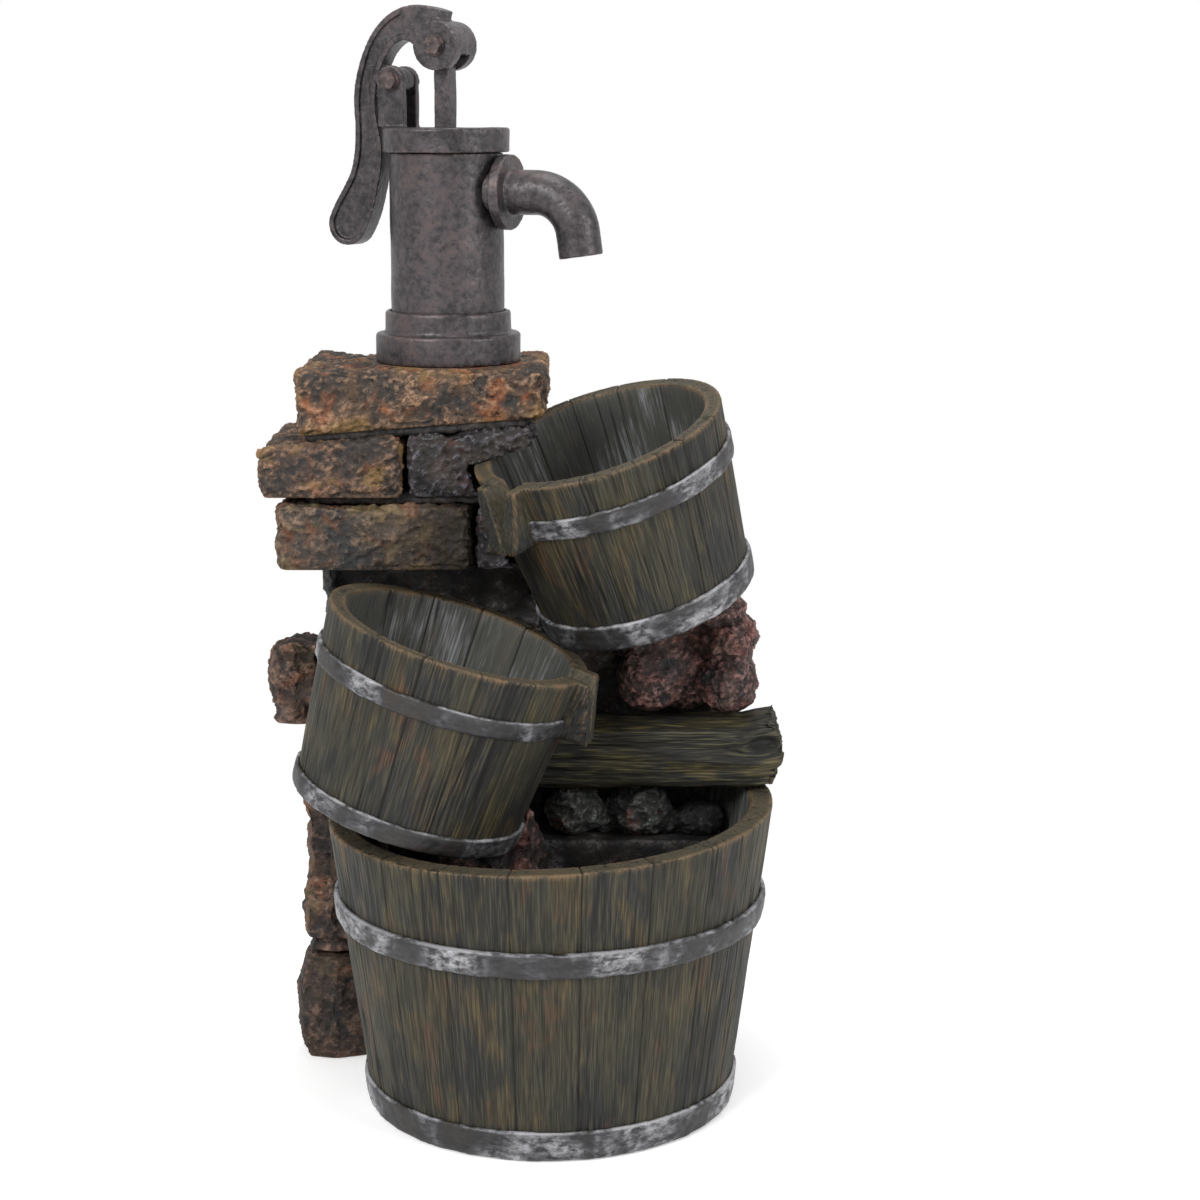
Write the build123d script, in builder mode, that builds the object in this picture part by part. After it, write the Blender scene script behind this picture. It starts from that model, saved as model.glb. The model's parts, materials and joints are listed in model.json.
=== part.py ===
"""Cascade garden fountain: a stone column with a hand pump over two leaning buckets and a barrel basin."""

import os
from math import atan2, cos, hypot, radians, sin, sqrt, tan
from typing import NamedTuple

from build123d import *

os.makedirs("parts", exist_ok=True)

# General fits, in millimetres.
SEAT_GAP = 0.2  # between cast pieces that are laid against each other
RUN_GAP = 0.06  # radial, pins and shafts that turn
SLIDE_GAP = 0.25  # radial, covers and rods that slide
OVERRUN = 4.0  # how far a cutter passes a face

# Barrel basin.
BASIN_HEIGHT = 178.3
BASIN_RIM_R = 131.4
BASIN_FOOT_R = 107.5
BASIN_WALL = 14.0
BASIN_FLOOR = 12.0
BASIN_STAVES = 20
RIM_RISE_RIGHT = 2.2  # degrees
RIM_RISE_BACK = 1.2  # degrees
BASIN_BASE_HOOP_HEIGHT = 19.0
BASIN_BASE_HOOP_PROUD = 2.4
BASIN_TOP_HOOP_LEVEL = 113.4
BASIN_TOP_HOOP_HEIGHT = 16.0
BASIN_TOP_HOOP_PROUD = 4.0

# Buckets: places of the rim centres, sizes and leans.
BUCKET_WALL = 10.5
BUCKET_FLOOR = 9.0
BUCKET_STAVES = 14
HOOP_PROUD = 2.5

# Joints between staves and between floor boards, in all three tubs.
SEAM_WIDTH = 1.8
SEAM_DEPTH = 1.2
BOARD_WIDTH = 23.0

MID_X, MID_Y = -49.8, -33.0
MID_RISE = 110.5  # over the basin
MID_Z = BASIN_HEIGHT + MID_RISE
MID_LEAN_RIGHT = 17.53  # degrees
MID_LEAN_FRONT = 2.2  # degrees
MID_FACING = -10.0  # degrees, where the lip points
MID_RIM_R = 77.0
MID_FOOT_R = 65.6
MID_DEPTH = 110.7
MID_HOOP_DROP, MID_HOOP_HEIGHT = 23.3, 12.3
MID_BASE_HOOP_HEIGHT = 12.8

TOP_X, TOP_Y = 27.6, 15.0
TOP_RISE = 108.8  # over the lower bucket
TOP_Z = MID_Z + TOP_RISE
TOP_LEAN_RIGHT = -17.0  # degrees
TOP_LEAN_FRONT = 12.3  # degrees
TOP_FACING = 219.0  # degrees
TOP_RIM_R = 75.2
TOP_FOOT_R = 62.7
TOP_DEPTH = 111.2
TOP_HOOP_DROP, TOP_HOOP_HEIGHT = 21.1, 13.5
TOP_BASE_HOOP_HEIGHT = 17.2

# Pouring lip, the same on both buckets.
LIP_OVERHANG = 4.5  # past the rim
LIP_FOOT_OVERHANG = 13.5
LIP_TOP_WIDTH = 35.0
LIP_FOOT_WIDTH = 24.0
LIP_DEPTH = 36.0
LIP_WALL = 7.0
LIP_STAVE = 16.0  # degrees to each side of the lip

# Levels of the beam, the shoulder behind it and the brick courses.
BEAM_RISE, BEAM_THICK = 4.3, 39.4
BEAM_BOTTOM = BASIN_HEIGHT + BEAM_RISE
BEAM_TOP = BEAM_BOTTOM + BEAM_THICK
SHOULDER_RISE = 76.0
SHOULDER_TOP = BEAM_TOP + SHOULDER_RISE
COURSE_RISE, COURSE_THICK = 17.0, 38.5
THIRD_BOTTOM = SHOULDER_TOP + COURSE_RISE
THIRD_TOP = THIRD_BOTTOM + COURSE_THICK
UPPER_COURSES = 78.5
TOP_BRICK_LEVEL = THIRD_TOP + UPPER_COURSES

# Column core: a hollow casting that stands behind and inside the basin.
CORE_WALL = 8.0
CORE_LEFT = -138.0
CORE_RIGHT = 116.0
CORE_BACK = 143.0
TOWER_FRONT = 50.0
TOWER_RIGHT = -5.0
SHOULDER_LEFT = -20.0
SHOULDER_FRONT = 60.0
SHOULDER_ROOF = 34.0
FOOTING_RIGHT = 92.0
CORNER_CUT = 14.0
LINER_LEFT, LINER_RIGHT = -130.0, -28.0
LINER_FRONT, LINER_BACK = 55.0, 130.0
CHAMBER_LEFT, CHAMBER_RIGHT = -60.0, 104.0
CHAMBER_FRONT = 16.0
CHAMBER_DROP = 28.3  # below the basin's rim
CHAMBER_TOP = BASIN_HEIGHT - CHAMBER_DROP
INLET_SLOTS = 6
INLET_WIDTH, INLET_HEIGHT, INLET_PITCH = 5.0, 34.0, 14.0
INLET_LEVEL = 24.0
INLET_X = 52.0

# Brick courses over the tower.
COURSE_BACK = 137.0
THIRD_LEFT, THIRD_FRONT = -160.0, 12.0
SECOND_LEFT, SECOND_FRONT = -169.5, 15.0
TOP_BRICK_LEFT, TOP_BRICK_RIGHT, TOP_BRICK_FRONT = -147.5, -2.0, 20.0
TOP_BRICK_THICK_LEFT, TOP_BRICK_THICK_RIGHT = 39.0, 28.0
COURSE_RIGHT = -8.0
SECOND_JOINT_X = -84.0
THIRD_JOINT_X = -44.0
JOINT_WIDTH = 2.4
MORTAR = 4.0
MORTAR_INSET = 7.0
BRICK_EDGE = 3.0

# Stones beside the barrel and under the buckets.
CORNER_BLOCK_SIZE = (57.0, 58.0, 68.0)
CORNER_BLOCK_AT = (-133.5, 66.0)
LOWER_STONE_SIZE = (42.0, 48.0, 58.0)
LOWER_STONE_AT = (-134.0, 64.0)
UPPER_STONE_SIZE = (44.0, 46.0, 68.0)
UPPER_STONE_AT = (-135.0, 65.0)
LEFT_STONE_SIZE = (46.0, 52.0, 54.0)
LEFT_STONE_RISE = 33.0  # over the basin
LEFT_STONE_AT = (-155.0, 76.0, BASIN_HEIGHT + LEFT_STONE_RISE)
PROP_A_SIZE = (50.0, 40.0, 58.0)
PROP_A_AT = (62.0, 44.0)
PROP_B_SIZE = (42.0, 44.0, 76.0)
PROP_B_AT = (108.2, 46.0)
PROP_BACK_SIZE = (36.0, 24.0, 54.0)
PROP_BACK_AT = (86.0, 50.0)
PILLAR_RISE = 1.7  # over the basin
PILLAR_SIZE = (74.0, 42.0, BASIN_HEIGHT - BASIN_FLOOR + PILLAR_RISE)
PILLAR_AT = (-34.0, -7.0)
GREEN_ROCK_SIZE = (38.0, 34.0)
GREEN_ROCK_AT = (55.0, 37.0)
BROWN_ROCK_SIZE = (34.0, 34.0)
BROWN_ROCK_AT = (14.5, 37.0)
FLAT_ROCK_SIZE = (28.0, 30.0, 18.0)
FLAT_ROCK_AT = (89.0, 36.0)

# Old beam across the basin.
BEAM_LEFT, BEAM_RIGHT = -14.0, 141.5
BEAM_FRONT, BEAM_BACK = 5.0, 59.6
BEAM_EDGE = 4.0

# Hand pump. Its own X runs towards the spout.
PUMP_X, PUMP_Y = -61.4, 80.0
PUMP_TURN = -22.0  # degrees
BASE_RING_R, BASE_RING_HEIGHT = 43.5, 17.4
STEP_RING_R, STEP_RING_HEIGHT = 37.9, 13.2
BARREL_R, BARREL_WALL = 34.1, 5.0
BARREL_SOCKET = 16.0
CAP_R, CAP_THICK = 37.9, 14.6
CAP_RISE = 123.4  # over the bricks
CAP_LEVEL = TOP_BRICK_LEVEL + CAP_RISE
CAP_SPIGOT = 6.0
SPIGOT_WALL = 4.0
FULCRUM_X, FULCRUM_RISE = -31.0, 41.6
FULCRUM_Z = CAP_LEVEL + FULCRUM_RISE
ROD_PIN_X, ROD_PIN_RISE = 0.0, 20.0
ROD_PIN_Z = FULCRUM_Z + ROD_PIN_RISE
BRACKET_WIDTH = 17.0
BRACKET_PLATE = 5.0
BRACKET_HEAD_R = 9.0
PIN_R = 2.5
NUT_R, NUT_THICK = 5.6, 3.2
WASHER_R, WASHER_THICK = 6.3, 1.0
BOLT_END = 1.6
ROD_WIDTH, ROD_THICK = 9.5, 12.0
ROD_EYE_R = 6.5
ROD_REACH = 12.4  # into the barrel
ROD_BOTTOM = CAP_LEVEL - ROD_REACH
ROD_STOP_WIDTH, ROD_STOP_THICK = 14.0, 3.0
ROD_SLOT_PLAY = 0.32  # the pin's play up and down in the slot
EYE_ROOM = 0.8
LEVER_SWING = 35.0  # degrees

# Lever of the hand pump.
LEVER_THICK = 15.0
LEVER_LENGTH = 142.0
LEVER_WIDTH = 24.0
LEVER_RIM = 3.6
LEVER_RECESS = 2.2
LEVER_END_R = 12.7
CHEEK_R = 14.6
CHEEK_SPREAD = 28.4  # over both cheeks
EAR_R = 8.2
EAR_THICK = 12.0

# Spout.
SPOUT_DEPTH = 22.9  # below the cap
SPOUT_LEVEL = CAP_LEVEL - SPOUT_DEPTH
SPOUT_R, SPOUT_BORE_R = 13.2, 8.6
SPOUT_COLLAR_R, SPOUT_COLLAR_THICK = 22.3, 7.0
SPOUT_COLLAR_X = 36.0
SPOUT_NECK_R = 15.5
SPOUT_TAIL_X = 27.5
SPOUT_RUN_X = 58.0
SPOUT_BEND_R = 26.8
SPOUT_BEND = 82.0  # degrees
SPOUT_DROP = 14.0

# Water path.
HOSE_R, HOSE_BORE_R = 8.0, 6.1
RISER_X = 16.0  # from the pump axis, towards the spout
HOSE_DROP = 20.5  # below the spout
HOSE_TOP = SPOUT_LEVEL - HOSE_DROP
HOSE_RUN = 26.0
HOSE_BEND_R = 24.0
ELBOW_R, ELBOW_BORE_R = 6.0, 4.2
ELBOW_BEND_R = 11.0
ELBOW_LAP = 16.0  # in the hose
ELBOW_BOTTOM = HOSE_TOP - ELBOW_LAP
ELBOW_END_X = 38.0
GROMMET_LENGTH = 9.0

# Submersible pump on the basin floor.
SUB_X, SUB_Y = -6.0, 62.0
SUB_LENGTH, SUB_WIDTH, SUB_HEIGHT = 54.0, 40.0, 44.0
SUB_EDGE = 5.0
CUP_R, CUP_HEIGHT, CUP_STEM_R = 6.0, 5.0, 2.0
CUP_INSET = 8.0
STRAINER_THICK = 9.0
STRAINER_WALL = 2.0
STRAINER_LAP = 3.0  # of the cover over the housing
STRAINER_SLOTS, STRAINER_PITCH = 6, 5.0
CHAMBER_COVER = 2.0
INLET_EYES, EYE_R = 5, 2.4
SHAFT_SEAT = 1.5
IMPELLER_R, IMPELLER_THICK = 12.0, 8.0
IMPELLER_BLADES = 6
BLADE_THICK = 1.6
ROTOR_R, ROTOR_LENGTH = 8.0, 20.0
SHAFT_R = 1.25
NOZZLE_R, NOZZLE_BORE_R, NOZZLE_HEIGHT = 6.0, 4.2, 18.0
NOZZLE_SHIFT_X, NOZZLE_SHIFT_Y = -8.0, 10.0
NOZZLE_TAIL = 5.0
ROTOR_SHIFT_X = 8.0
ROTOR_RUN = 0.6  # room round the rotor and the impeller
KNOB_R, KNOB_THICK, KNOB_STEM_R = 7.0, 5.0, 3.0
KNOB_INSET, KNOB_TAIL = 10.0, 1.2
KNOB_GRIPS, KNOB_GRIP_R = 8, 1.4
GLAND_R, GLAND_LENGTH, GLAND_BORE_R = 5.0, 10.0, 2.4

# Rear door, drain and cable outlet.
DOOR_X, DOOR_RISE = -40.0, 71.7
DOOR_Z = BASIN_HEIGHT + DOOR_RISE
DOOR_WIDTH, DOOR_HEIGHT = 92.0, 80.0
DOOR_THICK = 3.0
DOOR_LAP = 6.0
SEAL_THICK = 1.0
DOOR_SCREW_R, DOOR_SCREW_HEAD_R = 1.5, 3.2
DOOR_SCREW_HEAD = 1.8
DOOR_SCREW_LENGTH = 8.0
DRAIN_X, DRAIN_Y = 58.0, -48.0
DRAIN_R, DRAIN_FLANGE_R, DRAIN_FLANGE = 8.0, 12.0, 3.0
DRAIN_GRIP_R, DRAIN_GRIP = 4.0, 8.0
OUTLET_X, OUTLET_RISE = -108.0, 35.7
OUTLET_Z = BASIN_HEIGHT + OUTLET_RISE
OUTLET_R, OUTLET_FLANGE_R, OUTLET_FLANGE = 9.0, 13.0, 2.5
OUTLET_BORE_R = 5.0
BASE_SCREW_COUNT = 3
BASE_SCREW_CIRCLE_R = 22.0
BASE_SCREW_R, BASE_SCREW_HEAD_R = 2.0, 4.0
BASE_SCREW_HEAD, BASE_SCREW_BITE = 2.6, 12.0

# Shares of a stone's width and depth, round its belly.
STONE_OUTLINE_SHARES = (
    (0.50, 0.08), (0.36, 0.42), (0.02, 0.50), (-0.36, 0.43),
    (-0.50, 0.05), (-0.41, -0.40), (-0.03, -0.50), (0.40, -0.37),
)
# Height and spread of a stone's sections, from its foot to its crown.
STONE_SECTION_SHARES = ((0.0, 0.80), (0.24, 0.97), (0.62, 1.0), (0.88, 0.90), (1.0, 0.70))

# Lever stations from its lower end to its head: places from the fulcrum and half widths.
LEVER_STATION_SHARES = (
    (-0.2275, -0.5944, 0.53), (-0.1817, -0.5021, 0.50), (-0.1458, -0.4120, 0.42),
    (-0.1211, -0.2908, 0.385), (-0.1282, -0.1831, 0.32), (-0.1345, -0.0648, 0.295),
    (-0.1162, 0.0303, 0.295), (-0.0789, 0.1232, 0.31), (-0.0218, 0.1944, 0.335),
    (0.0500, 0.2296, 0.40), (0.1303, 0.2183, 0.52), (0.2070, 0.1930, 0.54),
)


class Tub(NamedTuple):
    """A tapered tub, placed by a plane at the centre of its rim."""

    seat: Plane
    rim_r: float
    foot_r: float
    depth: float
    wall: float
    floor: float


def leaning_seat(x, y, z, lean_right, lean_front, facing):
    """Plane at a rim centre whose Z leans as told and whose X points at the lip."""
    up = Vector(tan(radians(lean_right)), -tan(radians(lean_front)), 1).normalized()
    flat = Vector(cos(radians(facing)), sin(radians(facing)), 0)
    return Plane(origin=(x, y, z), x_dir=flat - up * flat.dot(up), z_dir=up)


def half_section(seat):
    """Plane that holds the seat's axis: its X is the radius and its Y runs along the axis."""
    return Plane(origin=seat.origin, x_dir=seat.x_dir, z_dir=seat.y_dir * -1)


def centre_line(seat):
    """Axis of revolution of a seat."""
    return Axis(seat.origin, seat.z_dir)


def wall_radius(tub, drop):
    """Outer radius of a tub at a distance below its rim."""
    return tub.rim_r - (tub.rim_r - tub.foot_r) * drop / tub.depth


def cone_solid(tub, grow, above=0.0, below=0.0):
    """Solid hull of a tub, grown on its radius and lengthened above and below."""
    with BuildPart() as hull:
        with BuildSketch(half_section(tub.seat)):
            with BuildLine():
                Polyline(
                    (0, above), (wall_radius(tub, -above) + grow, above),
                    (wall_radius(tub, tub.depth + below) + grow, -tub.depth - below),
                    (0, -tub.depth - below), close=True,
                )
            make_face()
        revolve(axis=centre_line(tub.seat))
    return hull.part


def inner_cone(tub, gap=0.0, above=0.0):
    """Solid that fills a tub's hollow, drawn in by a gap at the wall."""
    with BuildPart() as core:
        floor_drop = tub.depth - tub.floor
        with BuildSketch(half_section(tub.seat)):
            with BuildLine():
                Polyline(
                    (0, above), (wall_radius(tub, -above) - tub.wall - gap, above),
                    (wall_radius(tub, floor_drop) - tub.wall - gap, -floor_drop), (0, -floor_drop),
                    close=True,
                )
            make_face()
        revolve(axis=centre_line(tub.seat))
    return core.part


def lip_block(tub, grow=0.0):
    """Block that a bucket's pouring lip is cut from. Its front leans out towards its foot."""
    seat = tub.seat
    crest, reach = tub.rim_r + LIP_OVERHANG + grow, tub.rim_r + LIP_FOOT_OVERHANG
    face = Plane(origin=seat.origin + seat.x_dir * (reach + grow), x_dir=seat.y_dir, z_dir=seat.x_dir)
    top, foot = LIP_TOP_WIDTH / 2 + grow, LIP_FOOT_WIDTH / 2 + grow
    with BuildPart() as block:
        with BuildSketch(face):
            with BuildLine():
                Polyline(
                    (-top, grow), (top, grow), (foot, -LIP_DEPTH - grow), (-foot, -LIP_DEPTH - grow),
                    close=True,
                )
            make_face()
        extrude(amount=-(reach - tub.foot_r + tub.wall))
        with BuildSketch(half_section(seat).offset(-LIP_TOP_WIDTH)):
            with BuildLine():
                Polyline(
                    (crest, grow), (crest, grow + OVERRUN), (reach + grow + OVERRUN, grow + OVERRUN),
                    (reach + grow + OVERRUN, -LIP_DEPTH - grow), (reach + grow, -LIP_DEPTH - grow),
                    close=True,
                )
            make_face()
        extrude(amount=2 * LIP_TOP_WIDTH, mode=Mode.SUBTRACT)
    return block.part


def lip_groove(tub):
    """V cutter for the water channel of a lip."""
    seat = tub.seat
    reach = tub.rim_r + LIP_FOOT_OVERHANG + OVERRUN
    face = Plane(origin=seat.origin + seat.x_dir * reach, x_dir=seat.y_dir, z_dir=seat.x_dir)
    half = LIP_TOP_WIDTH / 2 - LIP_WALL
    steep = half / (LIP_DEPTH - LIP_WALL)
    with BuildPart() as groove:
        with BuildSketch(face):
            with BuildLine():
                Polyline(
                    (-half - steep * OVERRUN, OVERRUN), (half + steep * OVERRUN, OVERRUN),
                    (0, LIP_WALL - LIP_DEPTH), close=True,
                )
            make_face()
        extrude(amount=-(reach - tub.foot_r + tub.wall + OVERRUN))
    return groove.part


def seam_planes(tub, staves, first_half, inward, start):
    """Planes at each stave joint, with Z running up the wall.

    The first stave is centred on the tub's X and has its own half angle; the others are alike. The
    planes lie a distance inward from the outside of the wall, and start above or below the foot.
    """
    seat = tub.seat
    planes = []
    for number in range(staves):
        turn = radians(first_half + number * (360 - 2 * first_half) / (staves - 1))
        outward = seat.x_dir * cos(turn) + seat.y_dir * sin(turn)
        foot = seat.origin + outward * (tub.foot_r - inward) - seat.z_dir * tub.depth
        rim = seat.origin + outward * (tub.rim_r - inward)
        planes.append(Plane(origin=foot, x_dir=outward, z_dir=rim - foot).offset(start))
    return planes


def seam_cutters(tub, staves, first_half, above, inside=False):
    """V cutters for the joints between staves, on the outside of the wall or in the hollow."""
    inward, start, deep = (tub.wall, tub.floor + SEAM_WIDTH, 1) if inside else (0, -OVERRUN, -1)
    deep = deep * SEAM_DEPTH
    with BuildPart() as cutters:
        with BuildSketch(*seam_planes(tub, staves, first_half, inward, start)):
            with BuildLine():
                Polyline((deep, 0), (-deep, SEAM_WIDTH), (-deep, -SEAM_WIDTH), close=True)
            make_face()
        extrude(amount=tub.depth - start + above)
    return cutters.part


def board_cutters(tub):
    """V cutters for the joints between the floor's boards, which run the way the tub faces."""
    seat = tub.seat
    floor_r = wall_radius(tub, tub.depth - tub.floor) - tub.wall - SEAM_WIDTH
    bed = seat.origin + seat.z_dir * (tub.floor - tub.depth)
    with BuildPart() as cutters:
        for number in range(int(floor_r / BOARD_WIDTH + 1 / 2)):
            for side in (-1, 1):
                aside = side * (number + 1 / 2) * BOARD_WIDTH
                half = sqrt(floor_r**2 - aside**2)
                with BuildSketch(Plane(origin=bed - seat.x_dir * half, x_dir=seat.y_dir, z_dir=seat.x_dir)):
                    with BuildLine():
                        Polyline(
                            (aside, -SEAM_DEPTH), (aside + SEAM_WIDTH, SEAM_DEPTH),
                            (aside - SEAM_WIDTH, SEAM_DEPTH), close=True,
                        )
                    make_face()
                extrude(amount=2 * half)
    return cutters.part


def make_bucket(tub):
    """Bucket with a pouring lip, staves and a floor."""
    with BuildPart() as bucket:
        add(cone_solid(tub, 0.0))
        add(lip_block(tub))
        add(inner_cone(tub, above=OVERRUN), mode=Mode.SUBTRACT)
        add(lip_groove(tub), mode=Mode.SUBTRACT)
        for inside in (False, True):
            add(seam_cutters(tub, BUCKET_STAVES, LIP_STAVE, 2 * OVERRUN, inside), mode=Mode.SUBTRACT)
        add(board_cutters(tub), mode=Mode.SUBTRACT)
    return bucket.part


def make_hoop(tub, drop, height, proud, lip=False):
    """Flat metal band round a tub, with its top edge a given drop below the rim."""
    crown = proud / 4
    with BuildPart() as hoop:
        with BuildSketch(half_section(tub.seat)):
            with BuildLine():
                Polyline(
                    (wall_radius(tub, drop) + SEAT_GAP, -drop),
                    (wall_radius(tub, drop) + proud - crown, -drop),
                    (wall_radius(tub, drop) + proud, -drop - crown),
                    (wall_radius(tub, drop + height) + proud, crown - drop - height),
                    (wall_radius(tub, drop + height) + proud - crown, -drop - height),
                    (wall_radius(tub, drop + height) + SEAT_GAP, -drop - height), close=True,
                )
            make_face()
        revolve(axis=centre_line(tub.seat))
        if lip:
            add(lip_block(tub, grow=SEAT_GAP), mode=Mode.SUBTRACT)
    return hoop.part


def rough_stone(x, y, foot, width, depth, height, turn=0.0):
    """Rough stone: a ruled loft through like outlines, widest at its belly."""
    with BuildPart() as stone:
        for rise_share, spread_share in STONE_SECTION_SHARES:
            level = Plane(origin=(x, y, foot + height * rise_share)).rotated((0, 0, turn))
            with BuildSketch(level):
                with BuildLine():
                    Polyline(
                        *[
                            (x_share * width * spread_share, y_share * depth * spread_share)
                            for x_share, y_share in STONE_OUTLINE_SHARES
                        ],
                        close=True,
                    )
                make_face()
        loft(ruled=True)
    return stone.part


def upright_block(corners, bottom, top):
    """Block with the given plan corners between two levels."""
    with BuildPart() as block:
        with BuildSketch(Plane.XY.offset(bottom)):
            with BuildLine():
                Polyline(*corners, close=True)
            make_face()
        extrude(amount=top - bottom)
    return block.part


def plan_box(left, right, front, back, bottom, top):
    """Plain box between six faces."""
    return upright_block(((left, front), (right, front), (right, back), (left, back)), bottom, top)


def front_block(corners, front, back):
    """Block with the given corners in the front view, from its front face to its back."""
    with BuildPart() as block:
        with BuildSketch(Plane(origin=(0, front, 0), x_dir=(1, 0, 0), z_dir=(0, -1, 0))):
            with BuildLine():
                Polyline(*corners, close=True)
            make_face()
        extrude(amount=front - back)
    return block.part


def save(part, name):
    """Label a finished piece and write its file."""
    part.label = name
    export_step(part, "parts/" + name + ".step")


# Seats of the three tubs.
basin_seat = Plane.XY.offset(BASIN_HEIGHT)
basin = Tub(basin_seat, BASIN_RIM_R, BASIN_FOOT_R, BASIN_HEIGHT, BASIN_WALL, BASIN_FLOOR)
mid_seat = leaning_seat(MID_X, MID_Y, MID_Z, MID_LEAN_RIGHT, MID_LEAN_FRONT, MID_FACING)
mid = Tub(mid_seat, MID_RIM_R, MID_FOOT_R, MID_DEPTH, BUCKET_WALL, BUCKET_FLOOR)
top_seat = leaning_seat(TOP_X, TOP_Y, TOP_Z, TOP_LEAN_RIGHT, TOP_LEAN_FRONT, TOP_FACING)
top = Tub(top_seat, TOP_RIM_R, TOP_FOOT_R, TOP_DEPTH, BUCKET_WALL, BUCKET_FLOOR)

rim_up = Vector(-tan(radians(RIM_RISE_RIGHT)), -tan(radians(RIM_RISE_BACK)), 1).normalized()
rim_plane = Plane(origin=(0, 0, BASIN_HEIGHT), x_dir=Vector(1, 0, 0) - rim_up * rim_up.X, z_dir=rim_up)
rim_margin = BASIN_RIM_R * (tan(radians(RIM_RISE_RIGHT)) + tan(radians(RIM_RISE_BACK)))

# Barrel basin, its drain hole and hoops.
with BuildPart() as basin_shell:
    add(cone_solid(basin, 0.0, above=rim_margin))
    add(inner_cone(basin, above=rim_margin + OVERRUN), mode=Mode.SUBTRACT)
    split(bisect_by=rim_plane, keep=Keep.BOTTOM)
    for inside in (False, True):
        add(seam_cutters(basin, BASIN_STAVES, 180 / BASIN_STAVES, rim_margin + 2 * OVERRUN, inside),
            mode=Mode.SUBTRACT)
    add(board_cutters(basin), mode=Mode.SUBTRACT)
    with Locations((DRAIN_X, DRAIN_Y, BASIN_FLOOR)):
        Cylinder(DRAIN_R + RUN_GAP, BASIN_FLOOR + OVERRUN, align=(Align.CENTER, Align.CENTER, Align.MAX),
                 mode=Mode.SUBTRACT)
save(basin_shell.part, "basin_shell")

save(
    make_hoop(basin, BASIN_HEIGHT - BASIN_BASE_HOOP_HEIGHT, BASIN_BASE_HOOP_HEIGHT - 2 * SEAT_GAP,
              BASIN_BASE_HOOP_PROUD),
    "basin_base_hoop",
)
save(
    make_hoop(
        basin, BASIN_HEIGHT - BASIN_TOP_HOOP_LEVEL - BASIN_TOP_HOOP_HEIGHT, BASIN_TOP_HOOP_HEIGHT,
        BASIN_TOP_HOOP_PROUD,
    ),
    "basin_upper_hoop",
)

# Room that the buckets take from what they lean on.
mid_room = cone_solid(mid, HOOP_PROUD + SEAT_GAP, above=SEAT_GAP, below=SEAT_GAP)
top_room = cone_solid(top, HOOP_PROUD + SEAT_GAP, above=SEAT_GAP, below=SEAT_GAP)

# Two leaning buckets with their hoops. The upper one rests in a shallow notch of the other's rim.
with BuildPart() as mid_bucket:
    add(make_bucket(mid))
    add(top_room, mode=Mode.SUBTRACT)
save(mid_bucket.part, "mid_bucket")
save(make_hoop(mid, MID_HOOP_DROP, MID_HOOP_HEIGHT, HOOP_PROUD, lip=True), "mid_bucket_upper_hoop")
save(make_hoop(mid, MID_DEPTH - MID_BASE_HOOP_HEIGHT, MID_BASE_HOOP_HEIGHT, HOOP_PROUD),
     "mid_bucket_base_hoop")
save(make_bucket(top), "upper_bucket")
save(make_hoop(top, TOP_HOOP_DROP, TOP_HOOP_HEIGHT, HOOP_PROUD, lip=True), "upper_bucket_upper_hoop")
save(make_hoop(top, TOP_DEPTH - TOP_BASE_HOOP_HEIGHT, TOP_BASE_HOOP_HEIGHT, HOOP_PROUD),
     "upper_bucket_base_hoop")

# Room that the barrel takes from the stonework.
with BuildPart() as basin_room:
    add(cone_solid(basin, BASIN_TOP_HOOP_PROUD + SEAT_GAP, above=rim_margin + SEAT_GAP, below=OVERRUN))
    split(bisect_by=rim_plane.offset(SEAT_GAP), keep=Keep.BOTTOM)
    add(inner_cone(basin, gap=SEAT_GAP, above=rim_margin + OVERRUN), mode=Mode.SUBTRACT)
basin_room = basin_room.part


# Brick courses. The top brick's underside climbs to the right.
def bed_level(x, drop=0.0):
    """Underside of the top brick at a place along X, less a drop."""
    along = (x - TOP_BRICK_LEFT) / (TOP_BRICK_RIGHT - TOP_BRICK_LEFT)
    thick = TOP_BRICK_THICK_LEFT + (TOP_BRICK_THICK_RIGHT - TOP_BRICK_THICK_LEFT) * along
    return TOP_BRICK_LEVEL - thick - drop


def brick(left, right, bottom, top_left, top_right, bottom_right, front, back):
    """Brick with its own corner levels and broken edges."""
    with BuildPart() as block:
        outline = ((left, bottom), (right, bottom_right), (right, top_right), (left, top_left))
        add(front_block(outline, front, back))
        chamfer(block.edges(), BRICK_EDGE)
    return block.part


liner_room = plan_box(
    LINER_LEFT - SEAT_GAP, LINER_RIGHT + SEAT_GAP, LINER_FRONT - SEAT_GAP, LINER_BACK + SEAT_GAP,
    THIRD_BOTTOM - OVERRUN, TOP_BRICK_LEVEL,
)
riser_seat = Plane(origin=(PUMP_X, PUMP_Y, 0)).rotated((0, 0, PUMP_TURN))
riser_at = riser_seat.from_local_coords(Vector(RISER_X, 0, 0))

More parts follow.
